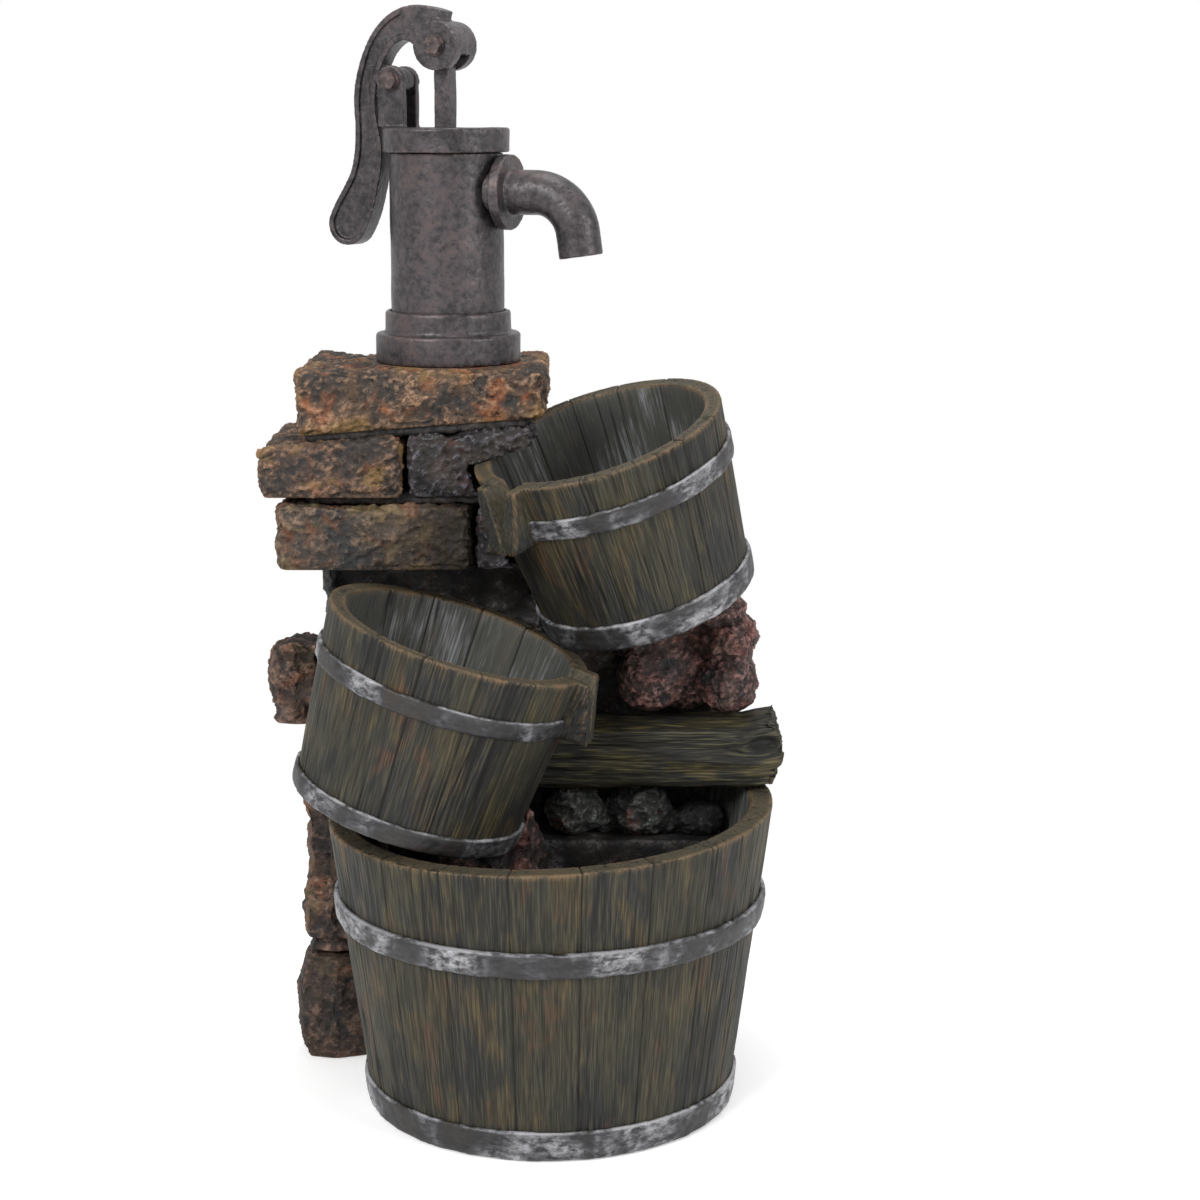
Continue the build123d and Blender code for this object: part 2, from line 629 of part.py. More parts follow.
with BuildPart() as brick_top:
    add(brick(TOP_BRICK_LEFT, TOP_BRICK_RIGHT, bed_level(TOP_BRICK_LEFT), TOP_BRICK_LEVEL, TOP_BRICK_LEVEL,
              bed_level(TOP_BRICK_RIGHT), TOP_BRICK_FRONT, COURSE_BACK))
    with Locations((riser_at.X, riser_at.Y, TOP_BRICK_LEVEL)):
        Cylinder(HOSE_R + SLIDE_GAP, TOP_BRICK_THICK_LEFT + TOP_BRICK_THICK_RIGHT, mode=Mode.SUBTRACT)
    with Locations(Location((PUMP_X, PUMP_Y, TOP_BRICK_LEVEL))):
        first_screw = PUMP_TURN + 180 / BASE_SCREW_COUNT
        with PolarLocations(BASE_SCREW_CIRCLE_R, BASE_SCREW_COUNT, start_angle=first_screw):
            Cylinder(BASE_SCREW_R + SLIDE_GAP, 2 * (BASE_SCREW_BITE + SEAT_GAP), mode=Mode.SUBTRACT)
    add(top_room, mode=Mode.SUBTRACT)
save(brick_top.part, "brick_top")

second_bottom = THIRD_TOP + MORTAR
second_joint_left = SECOND_JOINT_X - JOINT_WIDTH / 2
second_joint_right = SECOND_JOINT_X + JOINT_WIDTH / 2
with BuildPart() as brick_second_left:
    add(brick(SECOND_LEFT, second_joint_left, second_bottom, bed_level(SECOND_LEFT, MORTAR),
              bed_level(second_joint_left, MORTAR), second_bottom, SECOND_FRONT, COURSE_BACK))
    add(liner_room, mode=Mode.SUBTRACT)
save(brick_second_left.part, "brick_second_left")

with BuildPart() as brick_second_right:
    add(brick(second_joint_right, COURSE_RIGHT, second_bottom, bed_level(second_joint_right, MORTAR),
              bed_level(COURSE_RIGHT, MORTAR), second_bottom, SECOND_FRONT + MORTAR, COURSE_BACK))
    add(liner_room, mode=Mode.SUBTRACT)
    add(top_room, mode=Mode.SUBTRACT)
save(brick_second_right.part, "brick_second_right")

third_joint_left = THIRD_JOINT_X - JOINT_WIDTH / 2
third_joint_right = THIRD_JOINT_X + JOINT_WIDTH / 2
with BuildPart() as brick_third_left:
    add(brick(THIRD_LEFT, third_joint_left, THIRD_BOTTOM, THIRD_TOP, THIRD_TOP, THIRD_BOTTOM, THIRD_FRONT,
              COURSE_BACK))
    add(liner_room, mode=Mode.SUBTRACT)
    add(top_room, mode=Mode.SUBTRACT)
save(brick_third_left.part, "brick_third_left")

with BuildPart() as brick_third_right:
    add(brick(third_joint_right, COURSE_RIGHT, THIRD_BOTTOM, THIRD_TOP, THIRD_TOP, THIRD_BOTTOM,
              THIRD_FRONT + MORTAR, COURSE_BACK))
    add(liner_room, mode=Mode.SUBTRACT)
    add(top_room, mode=Mode.SUBTRACT)
save(brick_third_right.part, "brick_third_right")

with BuildPart() as mortar_beds:
    bed_left, bed_right = TOP_BRICK_LEFT + MORTAR_INSET, COURSE_RIGHT - MORTAR_INSET
    bed_front, bed_back = TOP_BRICK_FRONT + MORTAR_INSET, COURSE_BACK - MORTAR_INSET + BRICK_EDGE
    add(plan_box(bed_left, bed_right, bed_front, bed_back, THIRD_TOP, second_bottom))
    add(front_block(
        (
            (bed_left, bed_level(bed_left, MORTAR)), (bed_right, bed_level(bed_right, MORTAR)),
            (bed_right, bed_level(bed_right)), (bed_left, bed_level(bed_left)),
        ),
        bed_front, bed_back,
    ))
    add(liner_room, mode=Mode.SUBTRACT)
    add(top_room, mode=Mode.SUBTRACT)
save(mortar_beds.part, "mortar_beds")

# Stones stacked beside the barrel, from the ground up.
stone_foot = 0.0
corner_width, corner_depth, corner_height = CORNER_BLOCK_SIZE
with BuildPart() as corner_block:
    add(rough_stone(*CORNER_BLOCK_AT, stone_foot, corner_width, corner_depth, corner_height))
    add(basin_room, mode=Mode.SUBTRACT)
save(corner_block.part, "corner_block")

lower_width, lower_depth, lower_height = LOWER_STONE_SIZE
upper_width, upper_depth, upper_height = UPPER_STONE_SIZE
left_width, left_depth, left_height = LEFT_STONE_SIZE
left_x, left_y, left_foot = LEFT_STONE_AT
lower_foot = corner_height
upper_foot = lower_foot + lower_height
with BuildPart() as side_stones:
    add(rough_stone(*LOWER_STONE_AT, lower_foot, lower_width, lower_depth, lower_height, turn=90))
    add(rough_stone(*UPPER_STONE_AT, upper_foot + SEAT_GAP, upper_width, upper_depth, upper_height))
    add(rough_stone(left_x, left_y, left_foot, left_width, left_depth, left_height, turn=180))
    add(basin_room, mode=Mode.SUBTRACT)
    add(mid_room, mode=Mode.SUBTRACT)
    add(plan_box(CORE_LEFT - SEAT_GAP, LINER_RIGHT, TOWER_FRONT, CORE_BACK, left_foot, THIRD_BOTTOM),
        mode=Mode.SUBTRACT)
save(side_stones.part, "side_stones")

# Column with its pump chamber, cavity, door opening and water slots, cast in five pieces.
tower_plan = (
    (CORE_LEFT, TOWER_FRONT), (TOWER_RIGHT, TOWER_FRONT), (TOWER_RIGHT, CORE_BACK),
    (CORE_LEFT + CORNER_CUT, CORE_BACK), (CORE_LEFT, CORE_BACK - CORNER_CUT),
)
shoulder_plan = (
    (SHOULDER_LEFT, SHOULDER_FRONT), (CORE_RIGHT, SHOULDER_FRONT), (CORE_RIGHT, CORE_BACK - 2 * CORNER_CUT),
    (CORE_RIGHT - 2 * CORNER_CUT, CORE_BACK), (SHOULDER_LEFT, CORE_BACK),
)
footing_plan = (
    (SHOULDER_LEFT, SHOULDER_FRONT), (FOOTING_RIGHT, SHOULDER_FRONT),
    (FOOTING_RIGHT, CORE_BACK - 2 * CORNER_CUT), (FOOTING_RIGHT - 2 * CORNER_CUT, CORE_BACK),
    (SHOULDER_LEFT, CORE_BACK),
)
chamber_floor = BASIN_FLOOR
shoulder_foot = CHAMBER_TOP - CORE_WALL
cavity_back = CORE_BACK - CORE_WALL
hollow_left, hollow_right = CORE_LEFT + CORE_WALL, TOWER_RIGHT - CORE_WALL
tower_hollow = (
    (hollow_left, TOWER_FRONT + CORE_WALL), (hollow_right, TOWER_FRONT + CORE_WALL),
    (hollow_right, cavity_back),
    (hollow_left + CORNER_CUT, cavity_back), (hollow_left, cavity_back - CORNER_CUT),
)
hollow_end = FOOTING_RIGHT - CORE_WALL
shoulder_hollow = (
    (hollow_right - OVERRUN, SHOULDER_FRONT + CORE_WALL), (hollow_end, SHOULDER_FRONT + CORE_WALL),
    (hollow_end, cavity_back - 2 * CORNER_CUT), (hollow_end - 2 * CORNER_CUT, cavity_back),
    (hollow_right - OVERRUN, cavity_back),
)
recess_depth = DOOR_THICK + SEAL_THICK
recess_width, recess_height = DOOR_WIDTH + 2 * DOOR_LAP, DOOR_HEIGHT + 2 * DOOR_LAP
door_screw_spots = (recess_width - DOOR_LAP, recess_height - DOOR_LAP)
over_bed = front_block(
    (
        (TOP_BRICK_LEFT, bed_level(TOP_BRICK_LEFT)), (TOP_BRICK_RIGHT, bed_level(TOP_BRICK_RIGHT)),
        (TOP_BRICK_RIGHT, TOP_BRICK_LEVEL + OVERRUN), (TOP_BRICK_LEFT, TOP_BRICK_LEVEL + OVERRUN),
    ),
    TOP_BRICK_FRONT, COURSE_BACK,
)
with BuildPart() as column:
    add(upright_block(tower_plan, 0, THIRD_BOTTOM))
    add(upright_block(footing_plan, 0, shoulder_foot))
    add(upright_block(shoulder_plan, shoulder_foot, SHOULDER_TOP))
    add(plan_box(CHAMBER_LEFT, CHAMBER_RIGHT, CHAMBER_FRONT, SHOULDER_FRONT + CORE_WALL, chamber_floor,
                 CHAMBER_TOP))
    add(plan_box(LINER_LEFT, LINER_RIGHT, LINER_FRONT, LINER_BACK, THIRD_BOTTOM, TOP_BRICK_LEVEL))
    add(basin_room, mode=Mode.SUBTRACT)
    add(upright_block(tower_hollow, -OVERRUN, THIRD_BOTTOM - CORE_WALL), mode=Mode.SUBTRACT)
    add(upright_block(shoulder_hollow, -OVERRUN, SHOULDER_TOP - SHOULDER_ROOF), mode=Mode.SUBTRACT)
    add(plan_box(CHAMBER_LEFT + CORE_WALL, CHAMBER_RIGHT + OVERRUN, CHAMBER_FRONT + CORE_WALL,
                 SHOULDER_FRONT + CORE_WALL + OVERRUN, chamber_floor - OVERRUN, shoulder_foot),
        mode=Mode.SUBTRACT)
    add(plan_box(LINER_LEFT + CORE_WALL, LINER_RIGHT - CORE_WALL, LINER_FRONT + CORE_WALL,
                 LINER_BACK - CORE_WALL, THIRD_BOTTOM - 2 * CORE_WALL, TOP_BRICK_LEVEL), mode=Mode.SUBTRACT)
    add(plan_box(CORE_LEFT - OVERRUN, -wall_radius(basin, BASIN_HEIGHT) + 2 * CORE_WALL,
                 TOWER_FRONT - OVERRUN, TOWER_FRONT + CORE_WALL + OVERRUN, -OVERRUN, upper_foot),
        mode=Mode.SUBTRACT)
    for stone in (corner_block.part, side_stones.part, over_bed, mid_room, top_room):
        add(stone, mode=Mode.SUBTRACT)
    with Locations((DOOR_X, CORE_BACK, DOOR_Z)):
        Box(DOOR_WIDTH, 2 * (CORE_WALL + OVERRUN), DOOR_HEIGHT, mode=Mode.SUBTRACT)
        Box(recess_width, 2 * recess_depth, recess_height, mode=Mode.SUBTRACT)
    with BuildSketch(Plane(origin=(DOOR_X, CORE_BACK, DOOR_Z), x_dir=(1, 0, 0), z_dir=(0, -1, 0))):
        with GridLocations(*door_screw_spots, 2, 2):
            Circle(DOOR_SCREW_R + RUN_GAP)
    extrude(amount=CORE_WALL + OVERRUN, mode=Mode.SUBTRACT)
    with Locations((OUTLET_X, CORE_BACK, OUTLET_Z)):
        Cylinder(OUTLET_R, 2 * (CORE_WALL + OVERRUN), rotation=(90, 0, 0), mode=Mode.SUBTRACT)
    slot_row = Plane(origin=(INLET_X, CHAMBER_FRONT, INLET_LEVEL), x_dir=(1, 0, 0), z_dir=(0, -1, 0))
    with BuildSketch(slot_row):
        with GridLocations(INLET_PITCH, INLET_HEIGHT, INLET_SLOTS, 1):
            SlotOverall(INLET_HEIGHT, INLET_WIDTH, rotation=90, align=(Align.MIN, Align.CENTER))
    extrude(amount=-(CORE_WALL + OVERRUN), mode=Mode.SUBTRACT)

# The pieces part below the barrel's rim, over the cavity, and beside the tower.
foot_level = BASIN_HEIGHT - rim_margin
cap_level = SHOULDER_TOP - SHOULDER_ROOF
crown_level = THIRD_BOTTOM - CORE_WALL


def column_room(left, right, bottom, top):
    """Block as deep as the column, between two sides and two levels."""
    return plan_box(left, right, CHAMBER_FRONT - OVERRUN, CORE_BACK + OVERRUN, bottom, top)


def column_piece(room, cutters=()):
    """Piece of the column that lies in a room, less some cutters."""
    with BuildPart() as piece:
        add(column.part)
        add(room, mode=Mode.INTERSECT)
        for cutter in cutters:
            add(cutter, mode=Mode.SUBTRACT)
    return piece.part


beyond_left, beyond_right = CORE_LEFT - OVERRUN, CORE_RIGHT + OVERRUN
below_rim = column_room(beyond_left, beyond_right, -OVERRUN, foot_level - SEAT_GAP)
beside_tower = column_room(TOWER_RIGHT + SEAT_GAP, beyond_right, cap_level, SHOULDER_TOP + OVERRUN)
save(column_piece(below_rim, (cone_solid(basin, 0.0),)), "column_foot")
save(column_piece(inner_cone(basin), (
    column_room(beyond_left, beyond_right, foot_level - SEAT_GAP, BASIN_HEIGHT + OVERRUN),
)), "pump_chamber")
save(column_piece(beside_tower), "shoulder_cap")
save(column_piece(column_room(beyond_left, beyond_right, crown_level, TOP_BRICK_LEVEL)), "column_crown")
save(
    column_piece(
        column_room(beyond_left, beyond_right, foot_level, crown_level - SEAT_GAP),
        (column_room(TOWER_RIGHT, beyond_right, cap_level - SEAT_GAP, SHOULDER_TOP + OVERRUN),),
    ),
    "column_core",
)

# Rear door with its seal and screws, and the cable outlet.
door_face = Plane(origin=(DOOR_X, CORE_BACK, DOOR_Z), x_dir=(1, 0, 0), z_dir=(0, -1, 0))
seal_face = door_face.offset(DOOR_THICK)
with BuildPart() as access_door:
    with BuildSketch(door_face):
        Rectangle(recess_width - 2 * SEAT_GAP, recess_height - 2 * SEAT_GAP)
        with GridLocations(*door_screw_spots, 2, 2):
            Circle(DOOR_SCREW_R + SEAT_GAP, mode=Mode.SUBTRACT)
    extrude(amount=DOOR_THICK)
save(access_door.part, "access_door")

with BuildPart() as door_seal:
    with BuildSketch(seal_face):
        Rectangle(recess_width - 2 * SEAT_GAP, recess_height - 2 * SEAT_GAP)
        Rectangle(DOOR_WIDTH, DOOR_HEIGHT, mode=Mode.SUBTRACT)
        with GridLocations(*door_screw_spots, 2, 2):
            Circle(DOOR_SCREW_R + SEAT_GAP, mode=Mode.SUBTRACT)
    extrude(amount=SEAL_THICK)
save(door_seal.part, "door_seal")

with BuildPart() as door_screws:
    with BuildSketch(door_face):
        with GridLocations(*door_screw_spots, 2, 2):
            Circle(DOOR_SCREW_HEAD_R)
    extrude(amount=-DOOR_SCREW_HEAD)
    with BuildSketch(door_face):
        with GridLocations(*door_screw_spots, 2, 2):
            Circle(DOOR_SCREW_R)
    extrude(amount=DOOR_SCREW_LENGTH)
save(door_screws.part, "door_screws")

outlet_face = Plane(origin=(OUTLET_X, CORE_BACK, OUTLET_Z), x_dir=(1, 0, 0), z_dir=(0, -1, 0))
with BuildPart() as cable_grommet:
    with BuildSketch(outlet_face):
        Circle(OUTLET_FLANGE_R)
    extrude(amount=-OUTLET_FLANGE)
    with BuildSketch(outlet_face):
        Circle(OUTLET_R - RUN_GAP)
    extrude(amount=CORE_WALL)
    with BuildSketch(outlet_face.offset(-OUTLET_FLANGE)):
        Circle(OUTLET_BORE_R)
    extrude(amount=CORE_WALL + OUTLET_FLANGE, mode=Mode.SUBTRACT)
save(cable_grommet.part, "cable_grommet")

# Drain plug in the basin floor.
with BuildPart() as drain_plug:
    with Locations((DRAIN_X, DRAIN_Y, BASIN_FLOOR)):
        Cylinder(DRAIN_FLANGE_R, DRAIN_FLANGE, align=(Align.CENTER, Align.CENTER, Align.MIN))
        Cylinder(DRAIN_R, BASIN_FLOOR - SEAL_THICK, align=(Align.CENTER, Align.CENTER, Align.MAX))
        Cylinder(DRAIN_GRIP_R, DRAIN_FLANGE + DRAIN_GRIP, align=(Align.CENTER, Align.CENTER, Align.MIN))
    chamfer(drain_plug.faces().sort_by(Axis.Z)[-1].edges(), DRAIN_GRIP_R / 4)
save(drain_plug.part, "drain_plug")

# Timber beam, and the stones over and under it.
beam_height = BEAM_TOP - BEAM_BOTTOM
with BuildPart() as timber_beam:
    add(front_block(
        (
            (BEAM_LEFT, BEAM_BOTTOM), (BEAM_RIGHT - BEAM_EDGE, BEAM_BOTTOM),
            (BEAM_RIGHT, BEAM_BOTTOM + beam_height / 3), (BEAM_RIGHT - BEAM_EDGE / 2, BEAM_TOP),
            (BEAM_LEFT, BEAM_TOP),
        ),
        BEAM_FRONT, BEAM_BACK,
    ))
    chamfer(timber_beam.edges().filter_by(Axis.X), BEAM_EDGE)
    add(plan_box(BEAM_LEFT - OVERRUN, TOWER_RIGHT + SEAT_GAP, TOWER_FRONT - SEAT_GAP, BEAM_BACK + OVERRUN,
                 BEAM_BOTTOM - OVERRUN, BEAM_TOP + OVERRUN), mode=Mode.SUBTRACT)
    add(mid_room, mode=Mode.SUBTRACT)
    add(basin_room, mode=Mode.SUBTRACT)
save(timber_beam.part, "timber_beam")

shoulder_room = plan_box(
    SHOULDER_LEFT, CORE_RIGHT + SEAT_GAP, SHOULDER_FRONT - SEAT_GAP, CORE_BACK, BEAM_BOTTOM, SHOULDER_TOP,
)
prop_a_width, prop_a_depth, prop_a_height = PROP_A_SIZE
prop_b_width, prop_b_depth, prop_b_height = PROP_B_SIZE
with BuildPart() as prop_stones:
    add(rough_stone(*PROP_A_AT, BEAM_TOP, prop_a_width, prop_a_depth, prop_a_height))
    add(rough_stone(*PROP_B_AT, BEAM_TOP, prop_b_width, prop_b_depth, prop_b_height))
    add(rough_stone(*PROP_BACK_AT, BEAM_TOP, *PROP_BACK_SIZE))
    add(top_room, mode=Mode.SUBTRACT)
    add(shoulder_room, mode=Mode.SUBTRACT)
save(prop_stones.part, "prop_stones")

pillar_width, pillar_depth, pillar_height = PILLAR_SIZE
flat_width, flat_depth, flat_height = FLAT_ROCK_SIZE
under_beam = BEAM_BOTTOM - CHAMBER_TOP
chamber_room = plan_box(
    CHAMBER_LEFT - SEAT_GAP, CHAMBER_RIGHT + OVERRUN, CHAMBER_FRONT - SEAT_GAP, SHOULDER_FRONT,
    0, CHAMBER_TOP,
)
with BuildPart() as pillar_rock:
    add(rough_stone(*PILLAR_AT, BASIN_FLOOR, pillar_width, pillar_depth, pillar_height))
    add(mid_room, mode=Mode.SUBTRACT)
    add(chamber_room, mode=Mode.SUBTRACT)
save(pillar_rock.part, "pillar_rock")

with BuildPart() as basin_rocks:
    add(rough_stone(*BROWN_ROCK_AT, CHAMBER_TOP, *BROWN_ROCK_SIZE, under_beam, turn=180))
    add(rough_stone(*GREEN_ROCK_AT, CHAMBER_TOP, *GREEN_ROCK_SIZE, under_beam))
    add(rough_stone(*FLAT_ROCK_AT, CHAMBER_TOP, flat_width, flat_depth, flat_height, turn=90))
    add(basin_room, mode=Mode.SUBTRACT)
    add(mid_room, mode=Mode.SUBTRACT)
save(basin_rocks.part, "basin_rocks")

# Hand pump: base, barrel and cap.
pump_seat = riser_seat
lever_plane = half_section(pump_seat)
barrel_foot = TOP_BRICK_LEVEL + BASE_RING_HEIGHT + STEP_RING_HEIGHT - BARREL_SOCKET
barrel_length = CAP_LEVEL - barrel_foot
cap_top = CAP_LEVEL + CAP_THICK
edge_break = BARREL_WALL / 4
up_from = (Align.CENTER, Align.CENTER, Align.MIN)

with BuildPart(pump_seat.offset(TOP_BRICK_LEVEL)) as hand_pump_base:
    Cylinder(BASE_RING_R, BASE_RING_HEIGHT, align=up_from)
    chamfer(hand_pump_base.edges().group_by(Axis.Z)[-1], edge_break)
    Cylinder(STEP_RING_R, BASE_RING_HEIGHT + STEP_RING_HEIGHT, align=up_from)
    chamfer(hand_pump_base.edges().group_by(Axis.Z)[-1], edge_break)
    with Locations((0, 0, barrel_foot - TOP_BRICK_LEVEL)):
        Cylinder(BARREL_R + SEAT_GAP, BARREL_SOCKET + OVERRUN, align=up_from, mode=Mode.SUBTRACT)
    with Locations((RISER_X, 0, 0)):
        Cylinder(HOSE_R + SLIDE_GAP, BASE_RING_HEIGHT + OVERRUN, align=up_from, mode=Mode.SUBTRACT)
    with PolarLocations(BASE_SCREW_CIRCLE_R, BASE_SCREW_COUNT, start_angle=180 / BASE_SCREW_COUNT):
        Cylinder(BASE_SCREW_R + SLIDE_GAP, BASE_RING_HEIGHT + OVERRUN, align=up_from, mode=Mode.SUBTRACT)
save(hand_pump_base.part, "hand_pump_base")

with BuildPart(pump_seat.offset(barrel_foot)) as base_screws:
    with PolarLocations(BASE_SCREW_CIRCLE_R, BASE_SCREW_COUNT, start_angle=180 / BASE_SCREW_COUNT):
        Cylinder(BASE_SCREW_HEAD_R, BASE_SCREW_HEAD, align=up_from)
        Cylinder(BASE_SCREW_R, barrel_foot - TOP_BRICK_LEVEL + BASE_SCREW_BITE,
                 align=(Align.CENTER, Align.CENTER, Align.MAX))
save(base_screws.part, "base_screws")

spout_line = Plane(origin=lever_plane.from_local_coords((0, SPOUT_LEVEL)), x_dir=pump_seat.y_dir,
                   z_dir=pump_seat.x_dir)
with BuildPart(pump_seat.offset(barrel_foot)) as hand_pump_barrel:
    Cylinder(BARREL_R, barrel_length, align=up_from)
    Cylinder(BARREL_R - BARREL_WALL, barrel_length, align=up_from, mode=Mode.SUBTRACT)
    with BuildSketch(spout_line):
        Circle(SPOUT_NECK_R + SEAT_GAP)
    extrude(amount=BARREL_R + OVERRUN, mode=Mode.SUBTRACT)
save(hand_pump_barrel.part, "hand_pump_barrel")

bracket_gap = EAR_THICK / 2 + SLIDE_GAP
with BuildPart(pump_seat.offset(CAP_LEVEL)) as hand_pump_cap:
    Cylinder(CAP_R, CAP_THICK, align=up_from)
    chamfer(hand_pump_cap.edges().group_by(Axis.Z)[-1], edge_break)
    with Locations((0, 0, -CAP_SPIGOT)):
        Cylinder(BARREL_R - BARREL_WALL - SEAT_GAP, CAP_SPIGOT, align=up_from)
        Cylinder(BARREL_R - BARREL_WALL - SEAT_GAP - SPIGOT_WALL, CAP_SPIGOT, align=up_from,
                 mode=Mode.SUBTRACT)
    for side in (-1, 1):
        near = lever_plane.offset(side * bracket_gap)
        with BuildSketch(near):
            with Locations((FULCRUM_X, FULCRUM_Z)):
                Circle(BRACKET_HEAD_R)
                Rectangle(BRACKET_WIDTH, FULCRUM_Z - cap_top, align=(Align.CENTER, Align.MAX))
                Circle(PIN_R + RUN_GAP, mode=Mode.SUBTRACT)
        extrude(amount=side * BRACKET_PLATE)
    Box(ROD_WIDTH + 2 * SLIDE_GAP, ROD_THICK + 2 * SLIDE_GAP, 2 * (CAP_THICK + CAP_SPIGOT),
        mode=Mode.SUBTRACT)
save(hand_pump_cap.part, "hand_pump_cap")


# Lever: an arm with a recessed web, an ear on the fulcrum and two cheeks on the rod.
def lever_edges(inset, last=None):
    """Outer and inner edge points of the lever arm, drawn in from its outline by an inset."""
    spots = [
        (FULCRUM_X + x_share * LEVER_LENGTH, FULCRUM_Z + z_share * LEVER_LENGTH, w_share * LEVER_WIDTH)
        for x_share, z_share, w_share in LEVER_STATION_SHARES
    ]
    outer, inner = [], []
    for number, (x, z, half) in enumerate(spots):
        before, after = spots[max(number - 1, 0)], spots[min(number + 1, len(spots) - 1)]
        run_x, run_z = after[0] - before[0], after[1] - before[1]
        run = hypot(run_x, run_z)
        side_x, side_z = -run_z / run * (half - inset), run_x / run * (half - inset)
        outer.append((x + side_x, z + side_z))
        inner.append((x - side_x, z - side_z))
    return outer[:last], inner[:last]


def arm_plate(inset, near, far, last=None):
    """Slice of the lever arm between two distances from its middle plane, with a round lower end."""
    outer, inner = lever_edges(inset, last)
    with BuildPart() as plate:
        with BuildSketch(lever_plane.offset(near)):
            with BuildLine():
                Spline(*outer)
                Line(outer[-1], inner[-1])
                Spline(*inner)
                Line(outer[0], inner[0])
            make_face()
            with Locations(((outer[0][0] + inner[0][0]) / 2, (outer[0][1] + inner[0][1]) / 2)):
                Circle(LEVER_END_R - inset)
        extrude(amount=far - near)
    return plate.part


swing = radians(LEVER_SWING)
pin_arm = hypot(ROD_PIN_X - FULCRUM_X, ROD_PIN_Z - FULCRUM_Z)
pin_rest = atan2(ROD_PIN_Z - FULCRUM_Z, ROD_PIN_X - FULCRUM_X)
slot_reach = pin_arm - (ROD_PIN_X - FULCRUM_X)
slot_rise = (2 * sin(pin_rest - swing / 2) - sin(pin_rest) - sin(pin_rest - swing)) * pin_arm / 4
eye_room_r = slot_reach + ROD_EYE_R + EYE_ROOM
cheek_inner = ROD_THICK / 2 + SLIDE_GAP
cheek_outer = CHEEK_SPREAD / 2
with BuildPart() as handle:
    add(arm_plate(0, -LEVER_THICK / 2, LEVER_THICK / 2))
    for side in (-1, 1):
        web = LEVER_THICK / 2 - LEVER_RECESS
        add(arm_plate(LEVER_RIM, side * web, side * LEVER_THICK, last=-2), mode=Mode.SUBTRACT)
    with BuildSketch(lever_plane):
        with Locations((FULCRUM_X, FULCRUM_Z)):
            Circle(EAR_R)
            Rectangle(LEVER_WIDTH * 2 / 3, 2 * EAR_R, align=(Align.MAX, Align.CENTER))
    extrude(amount=EAR_THICK / 2, both=True)
    with BuildSketch(lever_plane):
        with Locations((ROD_PIN_X, ROD_PIN_Z)):
            Circle(CHEEK_R)
    extrude(amount=cheek_outer, both=True)
    with BuildSketch(lever_plane):
        with Locations((ROD_PIN_X, ROD_PIN_Z)):
            Circle(eye_room_r)
            Rectangle(2 * eye_room_r, 2 * CHEEK_R, align=(Align.CENTER, Align.MAX))
    extrude(amount=cheek_inner, both=True, mode=Mode.SUBTRACT)
    with BuildSketch(lever_plane):
        with Locations((FULCRUM_X, FULCRUM_Z), (ROD_PIN_X, ROD_PIN_Z)):
            Circle(PIN_R + RUN_GAP)
    extrude(amount=cheek_outer, both=True, mode=Mode.SUBTRACT)
save(handle.part, "handle")

with BuildPart() as plunger_rod:
    with BuildSketch(lever_plane):
        with Locations((ROD_PIN_X, ROD_BOTTOM)):
            Rectangle(ROD_WIDTH, ROD_PIN_Z - ROD_BOTTOM, align=(Align.CENTER, Align.MIN))
        with Locations((ROD_PIN_X + slot_reach / 2, ROD_PIN_Z + slot_rise)):
            SlotCenterToCenter(slot_reach, 2 * ROD_EYE_R)
            SlotCenterToCenter(slot_reach, 2 * (PIN_R + ROD_SLOT_PLAY), mode=Mode.SUBTRACT)
    extrude(amount=ROD_THICK / 2, both=True)
    with BuildSketch(pump_seat.offset(ROD_BOTTOM)):
        Rectangle(ROD_STOP_WIDTH, ROD_STOP_WIDTH)
    extrude(amount=ROD_STOP_THICK)
save(plunger_rod.part, "plunger_rod")


def hex_bolt(spot, half_length):
    """Bolt across the lever plane: a hex head with a washer face at one end, a plain shank at the other."""
    with BuildPart() as bolt:
        pin_length = 2 * half_length + WASHER_THICK + NUT_THICK + BOLT_END
        for reach, radius, thick in ((half_length, WASHER_R, WASHER_THICK),
                                     (half_length, PIN_R, -pin_length)):
            with BuildSketch(lever_plane.offset(reach)):
                with Locations(spot):
                    Circle(radius)
            extrude(amount=thick)
        with BuildSketch(lever_plane.offset(half_length + WASHER_THICK)):
            with Locations(spot):
                RegularPolygon(NUT_R, 6)
        extrude(amount=NUT_THICK)
    return bolt.part


def hex_nut(spot, half_length):
    """Nut with a washer face for the far end of a lever bolt."""
    with BuildPart() as nut:
        with BuildSketch(lever_plane.offset(-half_length)):
            with Locations(spot):
                Circle(WASHER_R)
                Circle(PIN_R + RUN_GAP, mode=Mode.SUBTRACT)
        extrude(amount=-WASHER_THICK)
        with BuildSketch(lever_plane.offset(-half_length - WASHER_THICK)):
            with Locations(spot):
                RegularPolygon(NUT_R, 6)
                Circle(PIN_R + RUN_GAP, mode=Mode.SUBTRACT)
        extrude(amount=-NUT_THICK)
    return nut.part


fulcrum_half = bracket_gap + BRACKET_PLATE
save(hex_bolt((FULCRUM_X, FULCRUM_Z), fulcrum_half), "fulcrum_bolt")
save(hex_nut((FULCRUM_X, FULCRUM_Z), fulcrum_half), "fulcrum_nut")
save(hex_bolt((ROD_PIN_X, ROD_PIN_Z), cheek_outer), "rod_bolt")
save(hex_nut((ROD_PIN_X, ROD_PIN_Z), cheek_outer), "rod_nut")


# Spout, elbow and hose that carry the water.
def tube(path, radius, bore):
    """Round tube along a path."""
    with BuildPart() as pipe:
        for size, way in ((radius, Mode.ADD), (bore, Mode.SUBTRACT)):
            with BuildSketch(Plane(origin=path @ 0, z_dir=path % 0)):
                Circle(size)
            sweep(path=path, mode=way)
    return pipe.part


